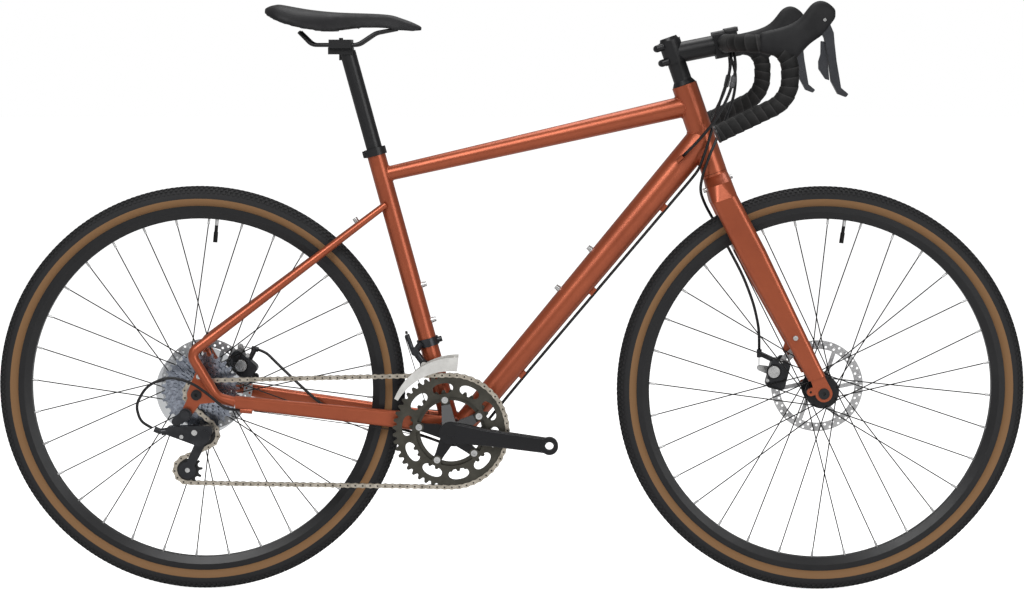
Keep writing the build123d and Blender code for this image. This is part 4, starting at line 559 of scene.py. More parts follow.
# chainrings: toothed bands, five bolt tabs and rounded windows
crankPlace = (-102.679, 284.0)
chainSize = {"pitch": 12.7, "roller": 3.85, "plateHalf": 4.15, "waist": 3.0, "plate": 0.75, "inner": 1.2,
             "outer": 2.05, "pin": 1.8, "pinProud": 0.15, "endPoints": 12, "wrap": 0.25}
ringSize = {"bolts": 5, "boltCircle": 55.0, "phase": 28.5, "tab": 8.0, "boltHole": 4.1, "half": 0.9,
            "bands": [(48, -46.6, 60.0, 89.94), (34, -40.6, 53.0, 0.0)],  # teeth, y, inner radius, phase
            "seat": -4.1, "flank": [(0.14, -3.2), (0.26, 0.2), (0.37, 2.6)],  # share of a step, reach
            "windowLow": 66.0, "windowHigh": 84.0, "windowHalf": 13.5, "windowSquare": (0.8, 0.9),
            "edgePoints": 360, "windowPoints": 32, "holePoints": 16}


def pitchRadius(teeth):
    return chainSize["pitch"] / (2 * sin(pi / teeth))


def around(radius, angle):
    return (crankPlace[0] + radius * cos(angle), crankPlace[1] + radius * sin(angle))


def toothLoop(teeth, phase):
    radius = pitchRadius(teeth)
    step = 2 * pi / teeth
    flank = ringSize["flank"]
    profile = [(-share, reach) for share, reach in reversed(flank)] + [(0.0, ringSize["seat"])] + flank
    loop = []
    for tooth in range(teeth):
        mid = phase + tooth * step
        loop += [around(radius + reach, mid + share * step) for share, reach in profile]
    return loop


def tabLoop(inner):
    # the inner edge, drawn in round each bolt
    count, bolts, circle, tab = (ringSize[key] for key in ("edgePoints", "bolts", "boltCircle", "tab"))
    loop = []
    for k in range(count):
        angle = 2 * pi * k / count
        gap = (angle - radians(ringSize["phase"]) + pi / bolts) % (2 * pi / bolts) - pi / bolts
        off = circle * sin(gap)
        radius = inner
        if abs(off) < tab:
            radius = min(inner, circle * cos(gap) - sqrt(tab ** 2 - off ** 2))
        loop.append(around(radius, angle))
    return loop


def windowLoop(middle):
    low, high = ringSize["windowLow"], ringSize["windowHigh"]
    centre, half = (low + high) / 2, (high - low) / 2
    count = ringSize["windowPoints"]
    alongPower, outPower = ringSize["windowSquare"]
    loop = []
    for k in range(count):
        a = 2 * pi * k / count
        c, s = cos(a), sin(a)
        spread = radians(ringSize["windowHalf"]) * abs(c) ** alongPower * (1 if c >= 0 else -1)
        loop.append(around(centre + half * abs(s) ** outPower * (1 if s >= 0 else -1), middle + spread))
    return loop


def boltLoop(bolt):
    x, z = around(ringSize["boltCircle"], bolt)
    hole, count = ringSize["boltHole"], ringSize["holePoints"]
    return [(x + hole * cos(2 * pi * k / count), z + hole * sin(2 * pi * k / count)) for k in range(count)]


groups = []
for teeth, y, inner, phase in ringSize["bands"]:
    holes = [tabLoop(inner)]
    for k in range(ringSize["bolts"]):
        bolt = radians(ringSize["phase"] + 360 / ringSize["bolts"] * k)
        holes.append(boltLoop(bolt))
        if teeth == ringSize["bands"][0][0]:  # only the large ring has windows
            holes += [windowLoop(bolt), windowLoop(bolt + radians(180 / ringSize["bolts"]))]
    outline = toothLoop(teeth, radians(phase))
    groups.append((*plateMesh(outline, holes, y - ringSize["half"], y + ringSize["half"]), 0))
toothedRings = joinMeshes("toothedRings", groups, ["ringGrey"])
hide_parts("chainrings")
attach(toothedRings, "crankset")
print("rings cut")

# chain: inner and outer links set along the route
wheels = [(crankPlace[0], crankPlace[1], 48, -46.6, -1),  # x, z, teeth, y and way of turning
          (-551.809, 219.882, 11, -62.5, -1), (-522.0, 281.0, 11, -62.5, 1), (-533.5, 351.0, 11, -62.5, -1)]


def chainRun(first, second):
    x1, z1, teeth1, y1, turn1 = first
    x2, z2, teeth2, y2, turn2 = second
    r1, r2 = pitchRadius(teeth1) * turn1, pitchRadius(teeth2) * turn2
    heading = atan2(z2 - z1, x2 - x1) + asin((r1 - r2) / hypot(x2 - x1, z2 - z1))
    side = Vector((sin(heading), 0, -cos(heading)))
    return heading, Vector((x1, y1, z1)) + side * r1, Vector((x2, y2, z2)) + side * r2


def chainRoute():
    # every pin centre, in order
    runs = [chainRun(wheel, wheels[(k + 1) % 4]) for k, wheel in enumerate(wheels)]
    arcs = [wheel[4] * (runs[k][0] - runs[k - 1][0]) % (2 * pi) * wheel[2] / (2 * pi)
            for k, wheel in enumerate(wheels)]
    straight = sum((end - start).length for heading, start, end in runs)
    count = 2 * round((straight / chainSize["pitch"] + sum(arcs)) / 2)
    pitch = straight / (count - sum(arcs))
    pins = []
    for number in range(count):
        place = number
        for k, (x, z, teeth, y, turn) in enumerate(wheels):
            heading, start, end = runs[k]
            if place <= arcs[k]:
                angle = runs[k - 1][0] + turn * place * 2 * pi / teeth
                radius = pitchRadius(teeth) * turn
                pins.append(Vector((x + radius * sin(angle), y, z - radius * cos(angle))))
                break
            place -= arcs[k]
            links = (end - start).length / pitch
            if place <= links:
                share = place / links
                p = start.lerp(end, share)
                p.y = start.y + (end.y - start.y) * share * share * (3 - 2 * share)
                pins.append(p)
                break
            place -= links
    return pins


def linkLoop():
    # a waisted plate round two pins
    half, waist, reach = chainSize["plateHalf"], chainSize["waist"], chainSize["pitch"] / 2
    count, wrap = chainSize["endPoints"], chainSize["wrap"]
    loop = []
    for way in (1, -1):
        for k in range(count + 1):
            a = -way * pi / 2 - wrap + (pi + 2 * wrap) * k / count
            loop.append((way * reach + half * cos(a), half * sin(a)))
        loop.append((0.0, way * waist))
    return loop


def makeLink(name, inner):
    y = chainSize["inner"] if inner else chainSize["outer"]
    reach = chainSize["pitch"] / 2
    groups = [(*plateMesh(linkLoop(), [], side * y, side * (y + chainSize["plate"])), 0) for side in (-1, 1)]
    for x in (-reach, reach):
        if inner:
            groups.append((*drum((x, 0.0), chainSize["roller"], -y, y, 16), 1))
        else:
            proud = y + chainSize["plate"] + chainSize["pinProud"]
            groups.append((*drum((x, 0.0), chainSize["pin"], -proud, proud, 10), 1))
    return joinMeshes(name, groups, ["chainSteel", "rollerDark"])


def linkTree():
    # one template turned to its heading on every point, its rollers and plates finished apart
    tree, start, end = newTree("chainLinks", [
        ("Link", "NodeSocketObject"), ("Plate Finish", "NodeSocketMaterial"),
        ("Roller Finish", "NodeSocketMaterial")])
    add = tree.nodes.new
    link = tree.links.new
    info = add("GeometryNodeObjectInfo")
    heading = add("GeometryNodeInputNamedAttribute")
    heading.data_type = "FLOAT_VECTOR"
    heading.inputs["Name"].default_value = "heading"
    align = add("FunctionNodeAlignRotationToVector")
    align.axis = "X"
    align.pivot_axis = "Y"
    onPoints = add("GeometryNodeInstanceOnPoints")
    realize = add("GeometryNodeRealizeInstances")
    onRollers = add("GeometryNodeMaterialSelection")
    onPlates = add("FunctionNodeBooleanMath")
    onPlates.operation = "NOT"
    setRollers = add("GeometryNodeSetMaterial")
    setPlates = add("GeometryNodeSetMaterial")
    link(start.outputs["Geometry"], onPoints.inputs["Points"])
    link(start.outputs["Link"], info.inputs["Object"])
    link(info.outputs["Geometry"], onPoints.inputs["Instance"])
    link(heading.outputs["Attribute"], align.inputs["Vector"])
    link(align.outputs["Rotation"], onPoints.inputs["Rotation"])
    link(onPoints.outputs["Instances"], realize.inputs["Geometry"])
    link(start.outputs["Roller Finish"], onRollers.inputs["Material"])
    link(onRollers.outputs["Selection"], onPlates.inputs[0])
    link(realize.outputs["Geometry"], setRollers.inputs["Geometry"])
    link(onRollers.outputs["Selection"], setRollers.inputs["Selection"])
    link(start.outputs["Roller Finish"], setRollers.inputs["Material"])
    link(setRollers.outputs["Geometry"], setPlates.inputs["Geometry"])
    link(onPlates.outputs["Boolean"], setPlates.inputs["Selection"])
    link(start.outputs["Plate Finish"], setPlates.inputs["Material"])
    link(setPlates.outputs["Geometry"], end.inputs["Geometry"])
    return tree


pins = chainRoute()
chainLinks = linkTree()
linkSets = []
for parity in (0, 1):
    template = makeLink("linkTemplate", parity == 1)
    places = [(pins[k] + pins[(k + 1) % len(pins)]) * (0.5 * mm) for k in range(parity, len(pins), 2)]
    ways = [pins[(k + 1) % len(pins)] - pins[k] for k in range(parity, len(pins), 2)]
    linkSet = meshPiece("linkSet", places, [], "chainSteel", False)
    attribute = linkSet.data.attributes.new("heading", "FLOAT_VECTOR", "POINT")
    for k, way in enumerate(ways):
        attribute.data[k].vector = (way.x, 0, way.z)
    runTree(linkSet, chainLinks, {"Link": template, "Plate Finish": finishes["chainSteel"],
                                  "Roller Finish": finishes["rollerDark"]})
    linkSets.append(linkSet)
    bpy.data.objects.remove(template)
work = bmesh.new()
for linkSet in linkSets:
    work.from_mesh(linkSet.data)
linkedChain = linkSets[0]
linkedChain.name = "linkedChain"
work.to_mesh(linkedChain.data)
work.free()
bpy.data.objects.remove(linkSets[1])
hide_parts("chain")
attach(linkedChain, "frame")
print("chain linked:", len(pins), "links")

# tyres: rounded carcass and rows of low blocks
tyreSize = {"centre": 331.0, "carcass": 17.9, "carcassFlat": 18.9, "beadHalf": 9.0, "beadRadius": 316.0,
            "turns": 240, "from": -50, "sweep": 280, "profile": 18,
            "blocks": 250, "block": (2.4, 4.6, 4.4), "blockLift": 0.7,
            "rows": [(0, 0.0), (19, 0.5), (-19, 0.5), (38, 0.0), (-38, 0.0), (57, 0.5), (-57, 0.5)]}
treadRing = knobTree()


def makeTyre(name, node, x, body):
    profile = []
    centre, carcass = tyreSize["centre"], tyreSize["carcass"]
    for k in range(tyreSize["profile"] + 1):
        angle = radians(tyreSize["from"] + tyreSize["sweep"] * k / tyreSize["profile"])
        profile.append((tyreSize["carcassFlat"] * cos(angle), centre + carcass * sin(angle)))
    profile += [(way * tyreSize["beadHalf"], tyreSize["beadRadius"]) for way in (-1, 1)]
    rings = []
    for turn in range(tyreSize["turns"]):
        a = 2 * pi * turn / tyreSize["turns"]
        rings.append([Vector((x + r * mm * cos(a), y * mm, axleZ + r * mm * sin(a))) for y, r in profile])
    rings.append(rings[0])
    vertices, faces = loftRings(rings, False, False)
    tyre = meshPiece(name, vertices, faces, "tyreBands")
    outward(tyre)
    parts = [tyre]
    for degreesOver, shift in tyreSize["rows"]:
        lean = radians(degreesOver)
        reach = centre + (carcass + tyreSize["blockLift"]) * cos(lean)
        row = bpy.data.objects.new(name + "Row", bpy.data.meshes.new(name + "Row"))
        bpy.context.scene.collection.objects.link(row)
        side = (carcass + tyreSize["blockLift"]) * sin(lean)
        runTree(row, treadRing, {
            "Count": tyreSize["blocks"], "Ring Radius": reach * mm,
            "Phase": 2 * pi * shift / tyreSize["blocks"],
            "Block Size": tuple(v * mm for v in tyreSize["block"]), "Tilt": lean,
            "Place": (x, side * mm, axleZ), "Finish": finishes["tyreBands"]})
        parts.append(row)
    work = bmesh.new()
    for part in parts:
        work.from_mesh(part.data)
    work.to_mesh(tyre.data)
    work.free()
    for row in parts[1:]:
        bpy.data.objects.remove(row)
    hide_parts(node)
    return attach(tyre, body)


makeTyre("frontTyreTread", "front_tyre", axleX, "front_wheel")
makeTyre("rearTyreTread", "rear_tyre", -axleX, "rear_wheel")
print("tyres made")

# bar tape: overlapping turns along each side of the bar
barX, barZ = 364.74, 944.58
tapeSize = {"radius": 14.3, "pitch": 15.0, "step": 1.6, "round": 28, "bends": [40.0, 42.0, 50.0],
            "ridge": 1.3, "edge": 0.12, "slope": 0.85, "sink": 0.35}
tapeRoute = [(barX, 44.0, barZ), (barX, 215.0, barZ), (barX + 86.0, 220.0, barZ - 3.0),
             (barX + 86.0, 223.0, barZ - 91.0), (barX - 30.0, 228.0, barZ - 146.0)]


def makeTape(name, side):
    points = roundedPath([(x, side * y, z) for x, y, z in tapeRoute], tapeSize["bends"], tapeSize["step"])
    rings, lengths = [], []
    travelled = 0.0
    across = Vector((1, 0, 0))
    for k, p in enumerate(points):
        ahead = (points[min(k + 1, len(points) - 1)] - points[max(k - 1, 0)]).normalized()
        across = (across - ahead * across.dot(ahead)).normalized()
        other = ahead.cross(across)
        if k:
            travelled += (p - points[k - 1]).length
        ring = []
        for j in range(tapeSize["round"]):
            a = 2 * pi * j / tapeSize["round"]
            wrap = (travelled / tapeSize["pitch"] + side * a / (2 * pi)) % 1.0
            edge = min(wrap / tapeSize["edge"], 1.0)
            lift = edge * (1 - tapeSize["slope"] * wrap) - tapeSize["sink"]
            radius = tapeSize["radius"] + tapeSize["ridge"] * lift
            ring.append((p + across * (radius * cos(a)) + other * (radius * sin(a))) * mm)
        rings.append(ring)
        lengths.append(travelled)
    vertices, faces = loftRings(rings)
    tape = meshPiece(name, vertices, faces, "tapeSkin")
    # wrap phase as UVs, which the tape finish uses for its painted shade and highlight
    wrap = tape.data.uv_layers.new(name="wrap")
    count, pitch = tapeSize["round"], tapeSize["pitch"]
    for face in tape.data.polygons:
        last = max(tape.data.loops[k].vertex_index % count for k in face.loop_indices) == count - 1
        for k in face.loop_indices:
            ring, j = divmod(tape.data.loops[k].vertex_index, count)
            j = count if last and j == 0 else j
            wrap.data[k].uv = (lengths[ring] / pitch + side * j / count, 3 * lengths[ring] / pitch)
    outward(tape)
    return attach(tape, "steering")


def tapeFinish():
    # matte skin with rows of tiny punched holes; its colour also carries painted shade in each wrap's overlap
    # crease and a painted highlight along the ridge just past it
    material = makeFinish("tapeSkin", (0.010, 0.0095, 0.0095), (0.006, 0.006, 0.006), 0.62,
                          patchScale=40.0, grain=0.3, grainScale=1500.0, specular=0.25)
    tree = material.node_tree
    link = tree.links.new
    shader = tree.nodes["Principled BSDF"]
    place = tree.nodes["Texture Coordinate"]
    wrap = tree.nodes.new("ShaderNodeUVMap")
    wrap.uv_map = "wrap"
    split = tree.nodes.new("ShaderNodeSeparateXYZ")
    share = tree.nodes.new("ShaderNodeMath")
    share.operation = "FRACT"
    # painted shade and highlight across each wrap: darkest at the overlap, brightest just past the ridge top,
    # dimming towards the next overlap; multiplied into the base colour and scaled up so the highlight can
    # pass 1
    edge = tree.nodes.new("ShaderNodeValToRGB")
    paintedHighlightScale = 4.0
    elements = edge.color_ramp.elements
    for position in (0.10, 0.16, 0.26, 0.6):
        elements.new(position)
    for element, tone in zip(elements, (0.15, 0.3, 3.6, 1.8, 1.0, 0.5)):
        element.color = (tone / paintedHighlightScale, tone / paintedHighlightScale, tone / paintedHighlightScale, 1)
    paintedWrapShading = tree.nodes.new("ShaderNodeMix")
    paintedWrapShading.data_type = "RGBA"
    paintedWrapShading.blend_type = "MULTIPLY"
    paintedWrapShading.inputs["Factor"].default_value = 1.0
    lift = tree.nodes.new("ShaderNodeVectorMath")
    lift.operation = "SCALE"
    lift.inputs["Scale"].default_value = paintedHighlightScale
    tones = groupNode(tree, tonePatches)
    link(wrap.outputs["UV"], split.inputs["Vector"])
    link(split.outputs["X"], share.inputs[0])
    link(share.outputs["Value"], edge.inputs["Fac"])
    link(edge.outputs["Color"], lift.inputs["Vector"])
    link(tones.outputs["Color"], paintedWrapShading.inputs["A"])
    link(lift.outputs["Vector"], paintedWrapShading.inputs["B"])
    link(paintedWrapShading.outputs["Result"], shader.inputs["Base Color"])
    cells = tree.nodes.new("ShaderNodeTexVoronoi")
    cells.inputs["Scale"].default_value = 330.0
    cells.inputs["Randomness"].default_value = 0.15
    holes = tree.nodes.new("ShaderNodeMapRange")
    holes.inputs["From Min"].default_value = 0.12
    holes.inputs["From Max"].default_value = 0.22
    bump = tree.nodes.new("ShaderNodeBump")
    bump.inputs["Strength"].default_value = 0.6
    bump.inputs["Distance"].default_value = 0.0004
    link(place.outputs["Object"], cells.inputs["Vector"])
    link(cells.outputs["Distance"], holes.inputs["Value"])
    link(holes.outputs["Result"], bump.inputs["Height"])
    link(groupNode(tree, fineGrain).outputs["Normal"], bump.inputs["Normal"])
    link(bump.outputs["Normal"], shader.inputs["Normal"])
    return material


finishes["tapeSkin"] = tapeFinish()
tapeRight = makeTape("barTapeRight", -1)
makeTape("barTapeLeft", 1)
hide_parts("bar_tape")
print("tape wound")

# housings from the bar: the front brake run rides with the steering, the rear brake and shift runs and the
# adjusters stay in place
housingSize = {"line": 0.3, "from": 0.915, "shiftTo": 0.757, "brakeTo": 0.712, "lowRun": 0.55,
               "brakeLow": 0.735}
adjusterSize = {"upper": (14.0, 55.0, -42.0), "lower": (4.0, 54.0, -84.0), "along": 0.28, "round": 16,
                "profile": [(0.0, 3.2), (0.04, 4.4), (0.1, 4.6), (0.24, 4.6), (0.26, 4.2), (0.3, 4.6),
                            (0.44, 4.4), (0.5, 3.2)]}


def looseParts(node):
    # the node's mesh, merged, as separate closed shells
    work = bmesh.new()
    work.from_mesh(nodes[node].data)
    bmesh.ops.remove_doubles(work, verts=work.verts, dist=1e-6)
    work.faces.ensure_lookup_table()
    seenFaces = set()
    shells = []
    for face in work.faces:
        if face.index in seenFaces:
            continue
        stack, shell = [face], []
        seenFaces.add(face.index)
        while stack:
            here = stack.pop()
            shell.append(here)
            for edge in here.edges:
                for other in edge.link_faces:
                    if other.index not in seenFaces:
                        seenFaces.add(other.index)
                        stack.append(other)
        order = {}
        for one in shell:
            for v in one.verts:
                order.setdefault(v.index, len(order))
        places = [None] * len(order)
        for one in shell:
            for v in one.verts:
                places[order[v.index]] = v.co.copy()
        shells.append((places, [tuple(order[v.index] for v in one.verts) for one in shell]))
    work.free()
    return shells


def housingPiece(name, shells):
    piece = joinMeshes(name, [(places, faces, 0) for places, faces in shells], ["sheath"])
    piece.data.polygons.foreach_set("use_smooth", [True] * len(piece.data.polygons))
    return piece


def bendHousing(piece):
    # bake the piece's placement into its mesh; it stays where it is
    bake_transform(piece)


def makeAdjuster(name, side):
    ends = (adjusterSize["upper"], adjusterSize["lower"])
    upper, lower = (Vector((barX + x, side * y, barZ + z)) for x, y, z in ends)
    run = lower - upper
    start = upper + run * adjusterSize["along"]
    across = run.normalized().cross(Vector((0, 1, 0))).normalized()
    other = run.normalized().cross(across)
    turns = [2 * pi * k / adjusterSize["round"] for k in range(adjusterSize["round"])]
    rings = []
    for share, radius in adjusterSize["profile"]:
        centre = start + run * share
        rings.append([(centre + (across * cos(a) + other * sin(a)) * radius) * mm for a in turns])
    sleeve = joinMeshes(name, [(*loftRings(rings), 0)], ["adjusterGrey"])
    bendHousing(sleeve)


def lowest(shell):
    return min(v.z for v in shell[0])


shells = looseParts("control_housings")
lowShells = [shell for shell in shells if lowest(shell) < housingSize["lowRun"]]
highShells = [shell for shell in shells if lowest(shell) >= housingSize["lowRun"]]
brakeShells = [shell for shell in highShells if lowest(shell) < housingSize["brakeLow"]]
shiftShells = [shell for shell in highShells if lowest(shell) >= housingSize["brakeLow"]]
frontBrakeRun = housingPiece("frontBrakeRun", lowShells)
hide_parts("control_housings")
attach(frontBrakeRun, "steering")
bendHousing(housingPiece("rearBrakeRun", brakeShells))
bendHousing(housingPiece("shiftRuns", shiftShells))
makeAdjuster("shiftAdjusterRight", -1)
makeAdjuster("shiftAdjusterLeft", 1)
print("housings bent:", len(lowShells), len(brakeShells), len(shiftShells))

# hoods: rubber grips with a raised horn
hoodSize = {"y": 218.0, "power": 2.5, "round": 28,
            "stations": [(398.0, 927.5, 960.5, 16.8), (412.0, 926.0, 963.5, 17.2),  # x, low, high, half
                         (428.0, 923.0, 967.0, 17.6), (446.0, 917.5, 972.0, 17.6),
                         (458.0, 916.0, 978.0, 17.4), (466.0, 924.0, 984.0, 17.2),
                         (474.0, 934.5, 993.0, 16.8), (482.0, 942.5, 1005.0, 16.2),
                         (490.0, 948.5, 1010.5, 15.4), (498.0, 953.5, 1012.5, 14.6),
                         (506.0, 960.0, 1011.0, 13.6), (513.0, 971.0, 1007.0, 12.2),
                         (519.0, 979.0, 1001.5, 10.0), (523.0, 985.0, 997.0, 6.0)]}


def superRing(x, y, low, high, half, count, power):
    ring = []
    centre = (low + high) / 2
    for k in range(count):
        a = 2 * pi * k / count
        c, s = cos(a), sin(a)
        across = half * (abs(c) ** (2 / power)) * (1 if c >= 0 else -1)
        up = (high - low) / 2 * (abs(s) ** (2 / power)) * (1 if s >= 0 else -1)
        ring.append(Vector((x, y + across, centre + up)) * mm)
    return ring


def makeHood(name, side):
    rings = [superRing(x, side * hoodSize["y"], low, high, half, hoodSize["round"], hoodSize["power"])
             for x, low, high, half in hoodSize["stations"]]
    vertices, faces = loftRings(rings)
    hood = meshPiece(name, vertices, faces, "rubber")
    outward(hood)
    subdivide(hood, 1)
    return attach(hood, "steering")


hoodRight = makeHood("hoodRight", -1)
makeHood("hoodLeft", 1)
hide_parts("hoods")
print("hoods shaped")

# saddle: crowned cover with its sides drawn down
saddleSize = {"round": 32, "voxel": 4.0, "pressure": 4.0, "frames": 20, "cap": 1.6,
              "square": 0.75, "crown": (0.20, 2.4), "edge": (0.62, 9), "lip": 0.2, "under": 0.45,
              "hollow": 0.9,
              "stations": [(-419.0, 996.0, 1003.5, 26.0, 1.5), (-414.0, 990.0, 1008.0, 48.0, 2.5),
                           (-403.0, 984.0, 1010.0, 63.0, 3.5), (-388.0, 976.0, 1008.5, 72.0, 4.5),
                           (-368.0, 970.0, 1004.5, 73.5, 5.0), (-345.0, 964.0, 1000.5, 67.0, 5.5),
                           (-320.0, 960.0, 997.5, 54.0, 5.5), (-295.0, 962.0, 995.5, 40.0, 5.0),
                           (-270.0, 966.0, 994.5, 31.0, 4.5), (-240.0, 969.0, 993.8, 25.5, 4.0),
                           (-210.0, 968.0, 992.3, 22.5, 4.0), (-185.0, 963.0, 988.5, 20.5, 4.0),
                           (-167.0, 963.0, 982.0, 18.0, 4.0), (-154.0, 965.0, 976.0, 13.0, 3.0),
                           (-148.0, 967.5, 971.5, 6.0, 1.0)]}


def saddleRing(x, low, high, half, wall):
    # over the crown, down the side, under the lip and back beneath
    count = saddleSize["round"]
    crown, crownPower = saddleSize["crown"]
    edge, edgePower = saddleSize["edge"]
    ring = []
    for k in range(count):
        a = 2 * pi * k / count
        c, s = cos(a), sin(a)
        across = half * (abs(c) ** saddleSize["square"]) * (1 if c >= 0 else -1)
        share = abs(across) / max(half, 1.0)
        top = high - (high - low) * crown * share ** crownPower
        top -= (high - low - wall) * edge * share ** edgePower
        if s >= 0:
            z = top - (1 - abs(s) ** 0.5) * wall * saddleSize["lip"]
        else:
            z = low + (high - low) * (saddleSize["under"] * (1 - share ** 2.0)) * saddleSize["hollow"]
            z = min(z, top - wall * abs(s))
        ring.append(Vector((x, across, z)) * mm)
    return ring


rings = [saddleRing(*station) for station in saddleSize["stations"]]
vertices, faces = loftRings(rings)
saddleCover = meshPiece("saddleCover", vertices, faces, "leather")
outward(saddleCover)
subdivide(saddleCover, 2)
inflate(saddleCover, saddleSize)
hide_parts("saddle")
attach(saddleCover, "seat")
print("saddle shaped")

# small fittings: caliper knobs, pivot bolts and pulley bolts
fittingSize = {
    "round": 28, "sunk": 4, "mechSunk": 3,
    "caliper": {  # x and z from the caliper's middle, radius, proud of its face, dish radius
        "PadKnob": ("silver", [(-1, -1, 10.5, 1.2, 6.0)]),
        "PadKnobRing": ("glossBlack", [(-1, -1, 13.0, 0.4, 0.0)]),
        "CaliperBolts": ("silver", [(11, 17, 3.6, 1.0, 1.8), (-12, -16, 3.0, 0.8, 1.5)])},
    "pulleyBolt": (-551.8, 219.9, 4.2, 1.0, 2.0),
    "mechPivots": [(20, 6, 5.0, 2.2), (-2, -1, 3.6, 1.6)], "mechProud": 0.8,
    "lever": {"place": (504.0, 981.0), "face": 14.6, "radius": 2.6, "proud": 0.8, "sunk": 3, "dish": 1.2},
}


def addDrums(name, items, finish, body):
    # items are (x, z, radius, front y, back y, dish radius) in mm
    groups = [(*drum((x, z), radius, front, back, fittingSize["round"], dish), 0)
              for x, z, radius, front, back, dish in items]
    piece = joinMeshes(name, groups, [finish])
    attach(piece, body)


def middle(node):
    low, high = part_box(node)
    return (low + high) / 2 / mm, low.y / mm


for end, body in (("front", "steering"), ("rear", "frame")):
    centre, face = middle(end + "_brake_caliper")
    for name, (finish, rounds) in fittingSize["caliper"].items():
        items = [(centre.x + x, centre.z + z, radius, face - proud, face + fittingSize["sunk"], dish)
                 for x, z, radius, proud, dish in rounds]
        addDrums(end + name, items, finish, body)
centre, face = middle("rear_derailleur_cage")
x, z, radius, proud, dish = fittingSize["pulleyBolt"]
items = [(x, z, radius, face - proud, face + fittingSize["mechSunk"], dish)]
addDrums("pulleyBolts", items, "silver", "rear_mech_cage")
centre, face = middle("rear_derailleur_body")
front, back = face - fittingSize["mechProud"], face + fittingSize["mechSunk"]
items = [(centre.x + x, centre.z + z, radius, front, back, dish)
         for x, z, radius, dish in fittingSize["mechPivots"]]
addDrums("mechPivots", items, "silver", "rear_mech")
lever = fittingSize["lever"]
for side, name in ((-1, "Right"), (1, "Left")):
    face = side * hoodSize["y"] + side * lever["face"]
    front, back = face + side * lever["proud"], face - side * lever["sunk"]
    items = [(*lever["place"], lever["radius"], front, back, lever["dish"])]
    addDrums("leverPivotBolt" + name, items, "silver", "steering")
print("fittings added")

# weld beads where the frame tubes meet
weldSize = {"radius": 1.5, "spacing": 1.7, "overlap": 1.15, "seed": 7, "headWall": 21.7, "seatWall": 15.9,
            "headTop": 122.0, "headDown": 62.8, "seatTop": 452.0,
            "topRadius": 18.2, "topEndRadius": 12.6, "downRadius": 24.9}
weldBeads = beadTree()
headLow = Vector((348.026, 0, 725.347))
headRun = Vector((-0.33216, 0, 0.94322))
shellPlace = Vector((crankPlace[0], 0, crankPlace[1]))
seatRun = Vector((-0.26219, 0, 0.96502))


def headAt(up):
    return headLow + headRun * up


def seatAt(up):
    return shellPlace + seatRun * up


def weldRing(start, towards, radius, wallPoint, wallRun, wallRadius):
    # where a round tube's skin meets a round wall, as evenly spaced points
    run = (towards - start).normalized()
    across = Vector((0, 1, 0))
    other = run.cross(across)
    found = []
    count = round(2 * pi * radius / weldSize["spacing"] * weldSize["overlap"])
    for k in range(count):
        a = 2 * pi * k / count
        p = start + across * (radius * cos(a)) + other * (radius * sin(a))
        q = p - wallPoint
        u = run - wallRun * run.dot(wallRun)
        v = q - wallRun * q.dot(wallRun)
        b, c = u.dot(v), v.dot(v) - wallRadius ** 2
        root = b * b - u.dot(u) * c
        if root < 0:
            continue
        t = (-b - sqrt(root)) / u.dot(u)
        found.append((p + run * t) * mm)
    return found


downLow = Vector((-100.68, 0, 266.5))
headTop, seatTop = headAt(weldSize["headTop"]), seatAt(weldSize["seatTop"])
headWall = (headLow, headRun, weldSize["headWall"])
welds = weldRing(seatTop, headTop, weldSize["topRadius"], *headWall)
welds += weldRing(downLow, headAt(weldSize["headDown"]), weldSize["downRadius"], *headWall)
welds += weldRing(headTop, seatTop, weldSize["topEndRadius"], shellPlace, seatRun, weldSize["seatWall"])
weldLine = meshPiece("frameWelds", welds, [], "copperPaint", False)
runTree(weldLine, weldBeads, {"Bead Radius": weldSize["radius"] * mm, "Seed": weldSize["seed"],
                              "Finish": finishes["copperPaint"]})
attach(weldLine, "frame")
print("welds laid")

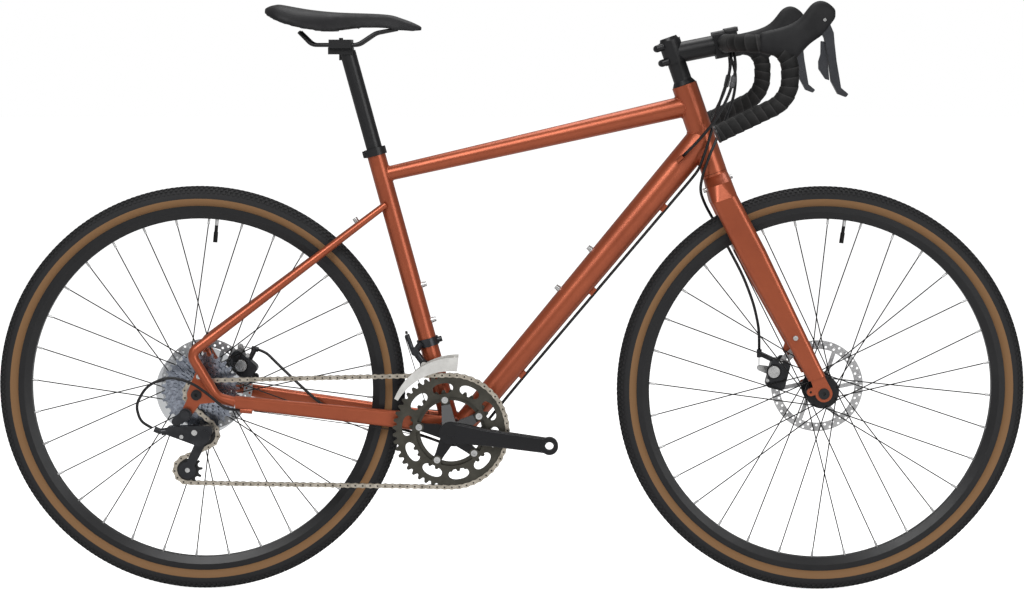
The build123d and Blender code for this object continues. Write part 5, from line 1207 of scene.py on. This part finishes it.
# floor, light and camera
stageSize = {"half": 30.0, "glow": 0.12, "seenGlow": 0.92, "skyGlow": 0.3, "seenSky": 1.0}
half = stageSize["half"]
floor = meshPiece("floor", [(-half, -half, 0), (half, -half, 0), (half, half, 0), (-half, half, 0)],
                  [(0, 1, 2, 3)], "plastic", False)
floorFinish = makeFinish("paleFloor", (0.62, 0.62, 0.62), (0.60, 0.60, 0.60), 0.9, patchScale=0.5, grain=0.0)
floorShader = floorFinish.node_tree.nodes["Principled BSDF"]
floorShader.inputs["Emission Color"].default_value = (1, 1, 1, 1)
floorTree = floorFinish.node_tree
seen = floorTree.nodes.new("ShaderNodeLightPath")
glow = floorTree.nodes.new("ShaderNodeMapRange")
glow.inputs["To Min"].default_value = stageSize["glow"]
glow.inputs["To Max"].default_value = stageSize["seenGlow"]
floorTree.links.new(seen.outputs["Is Camera Ray"], glow.inputs["Value"])
floorTree.links.new(glow.outputs["Result"], floorShader.inputs["Emission Strength"])
floor.data.materials.clear()
floor.data.materials.append(floorFinish)

world = bpy.data.worlds.new("studio")
world.use_nodes = True
studioTree = world.node_tree
studioLight = studioTree.nodes["Background"]
studioLight.inputs["Color"].default_value = (1, 1, 1, 1)
studioSeen = studioTree.nodes.new("ShaderNodeLightPath")
studioGlow = studioTree.nodes.new("ShaderNodeMapRange")
studioGlow.inputs["To Min"].default_value = stageSize["skyGlow"]
studioGlow.inputs["To Max"].default_value = stageSize["seenSky"]
studioTree.links.new(studioSeen.outputs["Is Camera Ray"], studioGlow.inputs["Value"])
studioTree.links.new(studioGlow.outputs["Result"], studioLight.inputs["Strength"])
bpy.context.scene.world = world
bpy.context.scene.view_settings.view_transform = "Standard"

lights = [("keySoftbox", (-1.4, -3.6, 3.4), (0, 0, 0.5), 2.4, 120),
          ("fillSoftbox", (2.6, -3.2, 1.4), (0.2, 0, 0.4), 2.0, 45),
          ("topSoftbox", (0.2, 0.8, 3.4), (0, 0, 0.5), 2.0, 45)]
for name, place, target, size, power in lights:
    lamp = bpy.data.lights.new(name, "AREA")
    lamp.size = size
    lamp.energy = power
    holder = bpy.data.objects.new(name, lamp)
    holder.location = place
    holder.rotation_euler = (Vector(target) - Vector(place)).to_track_quat("-Z", "Y").to_euler()
    bpy.context.scene.collection.objects.link(holder)

cameraSize = {"place": (0.0302, -3.9686, 0.9263), "down": 5.92, "turn": 0.41, "lens": 81.46}
camera = bpy.data.objects.new("camera", bpy.data.cameras.new("camera"))
camera.data.lens = cameraSize["lens"]
camera.data.sensor_width = 36.0
camera.location = cameraSize["place"]
camera.rotation_euler = (radians(90 - cameraSize["down"]), 0, radians(cameraSize["turn"]))
bpy.context.scene.collection.objects.link(camera)
bpy.context.scene.camera = camera
print("stage set")
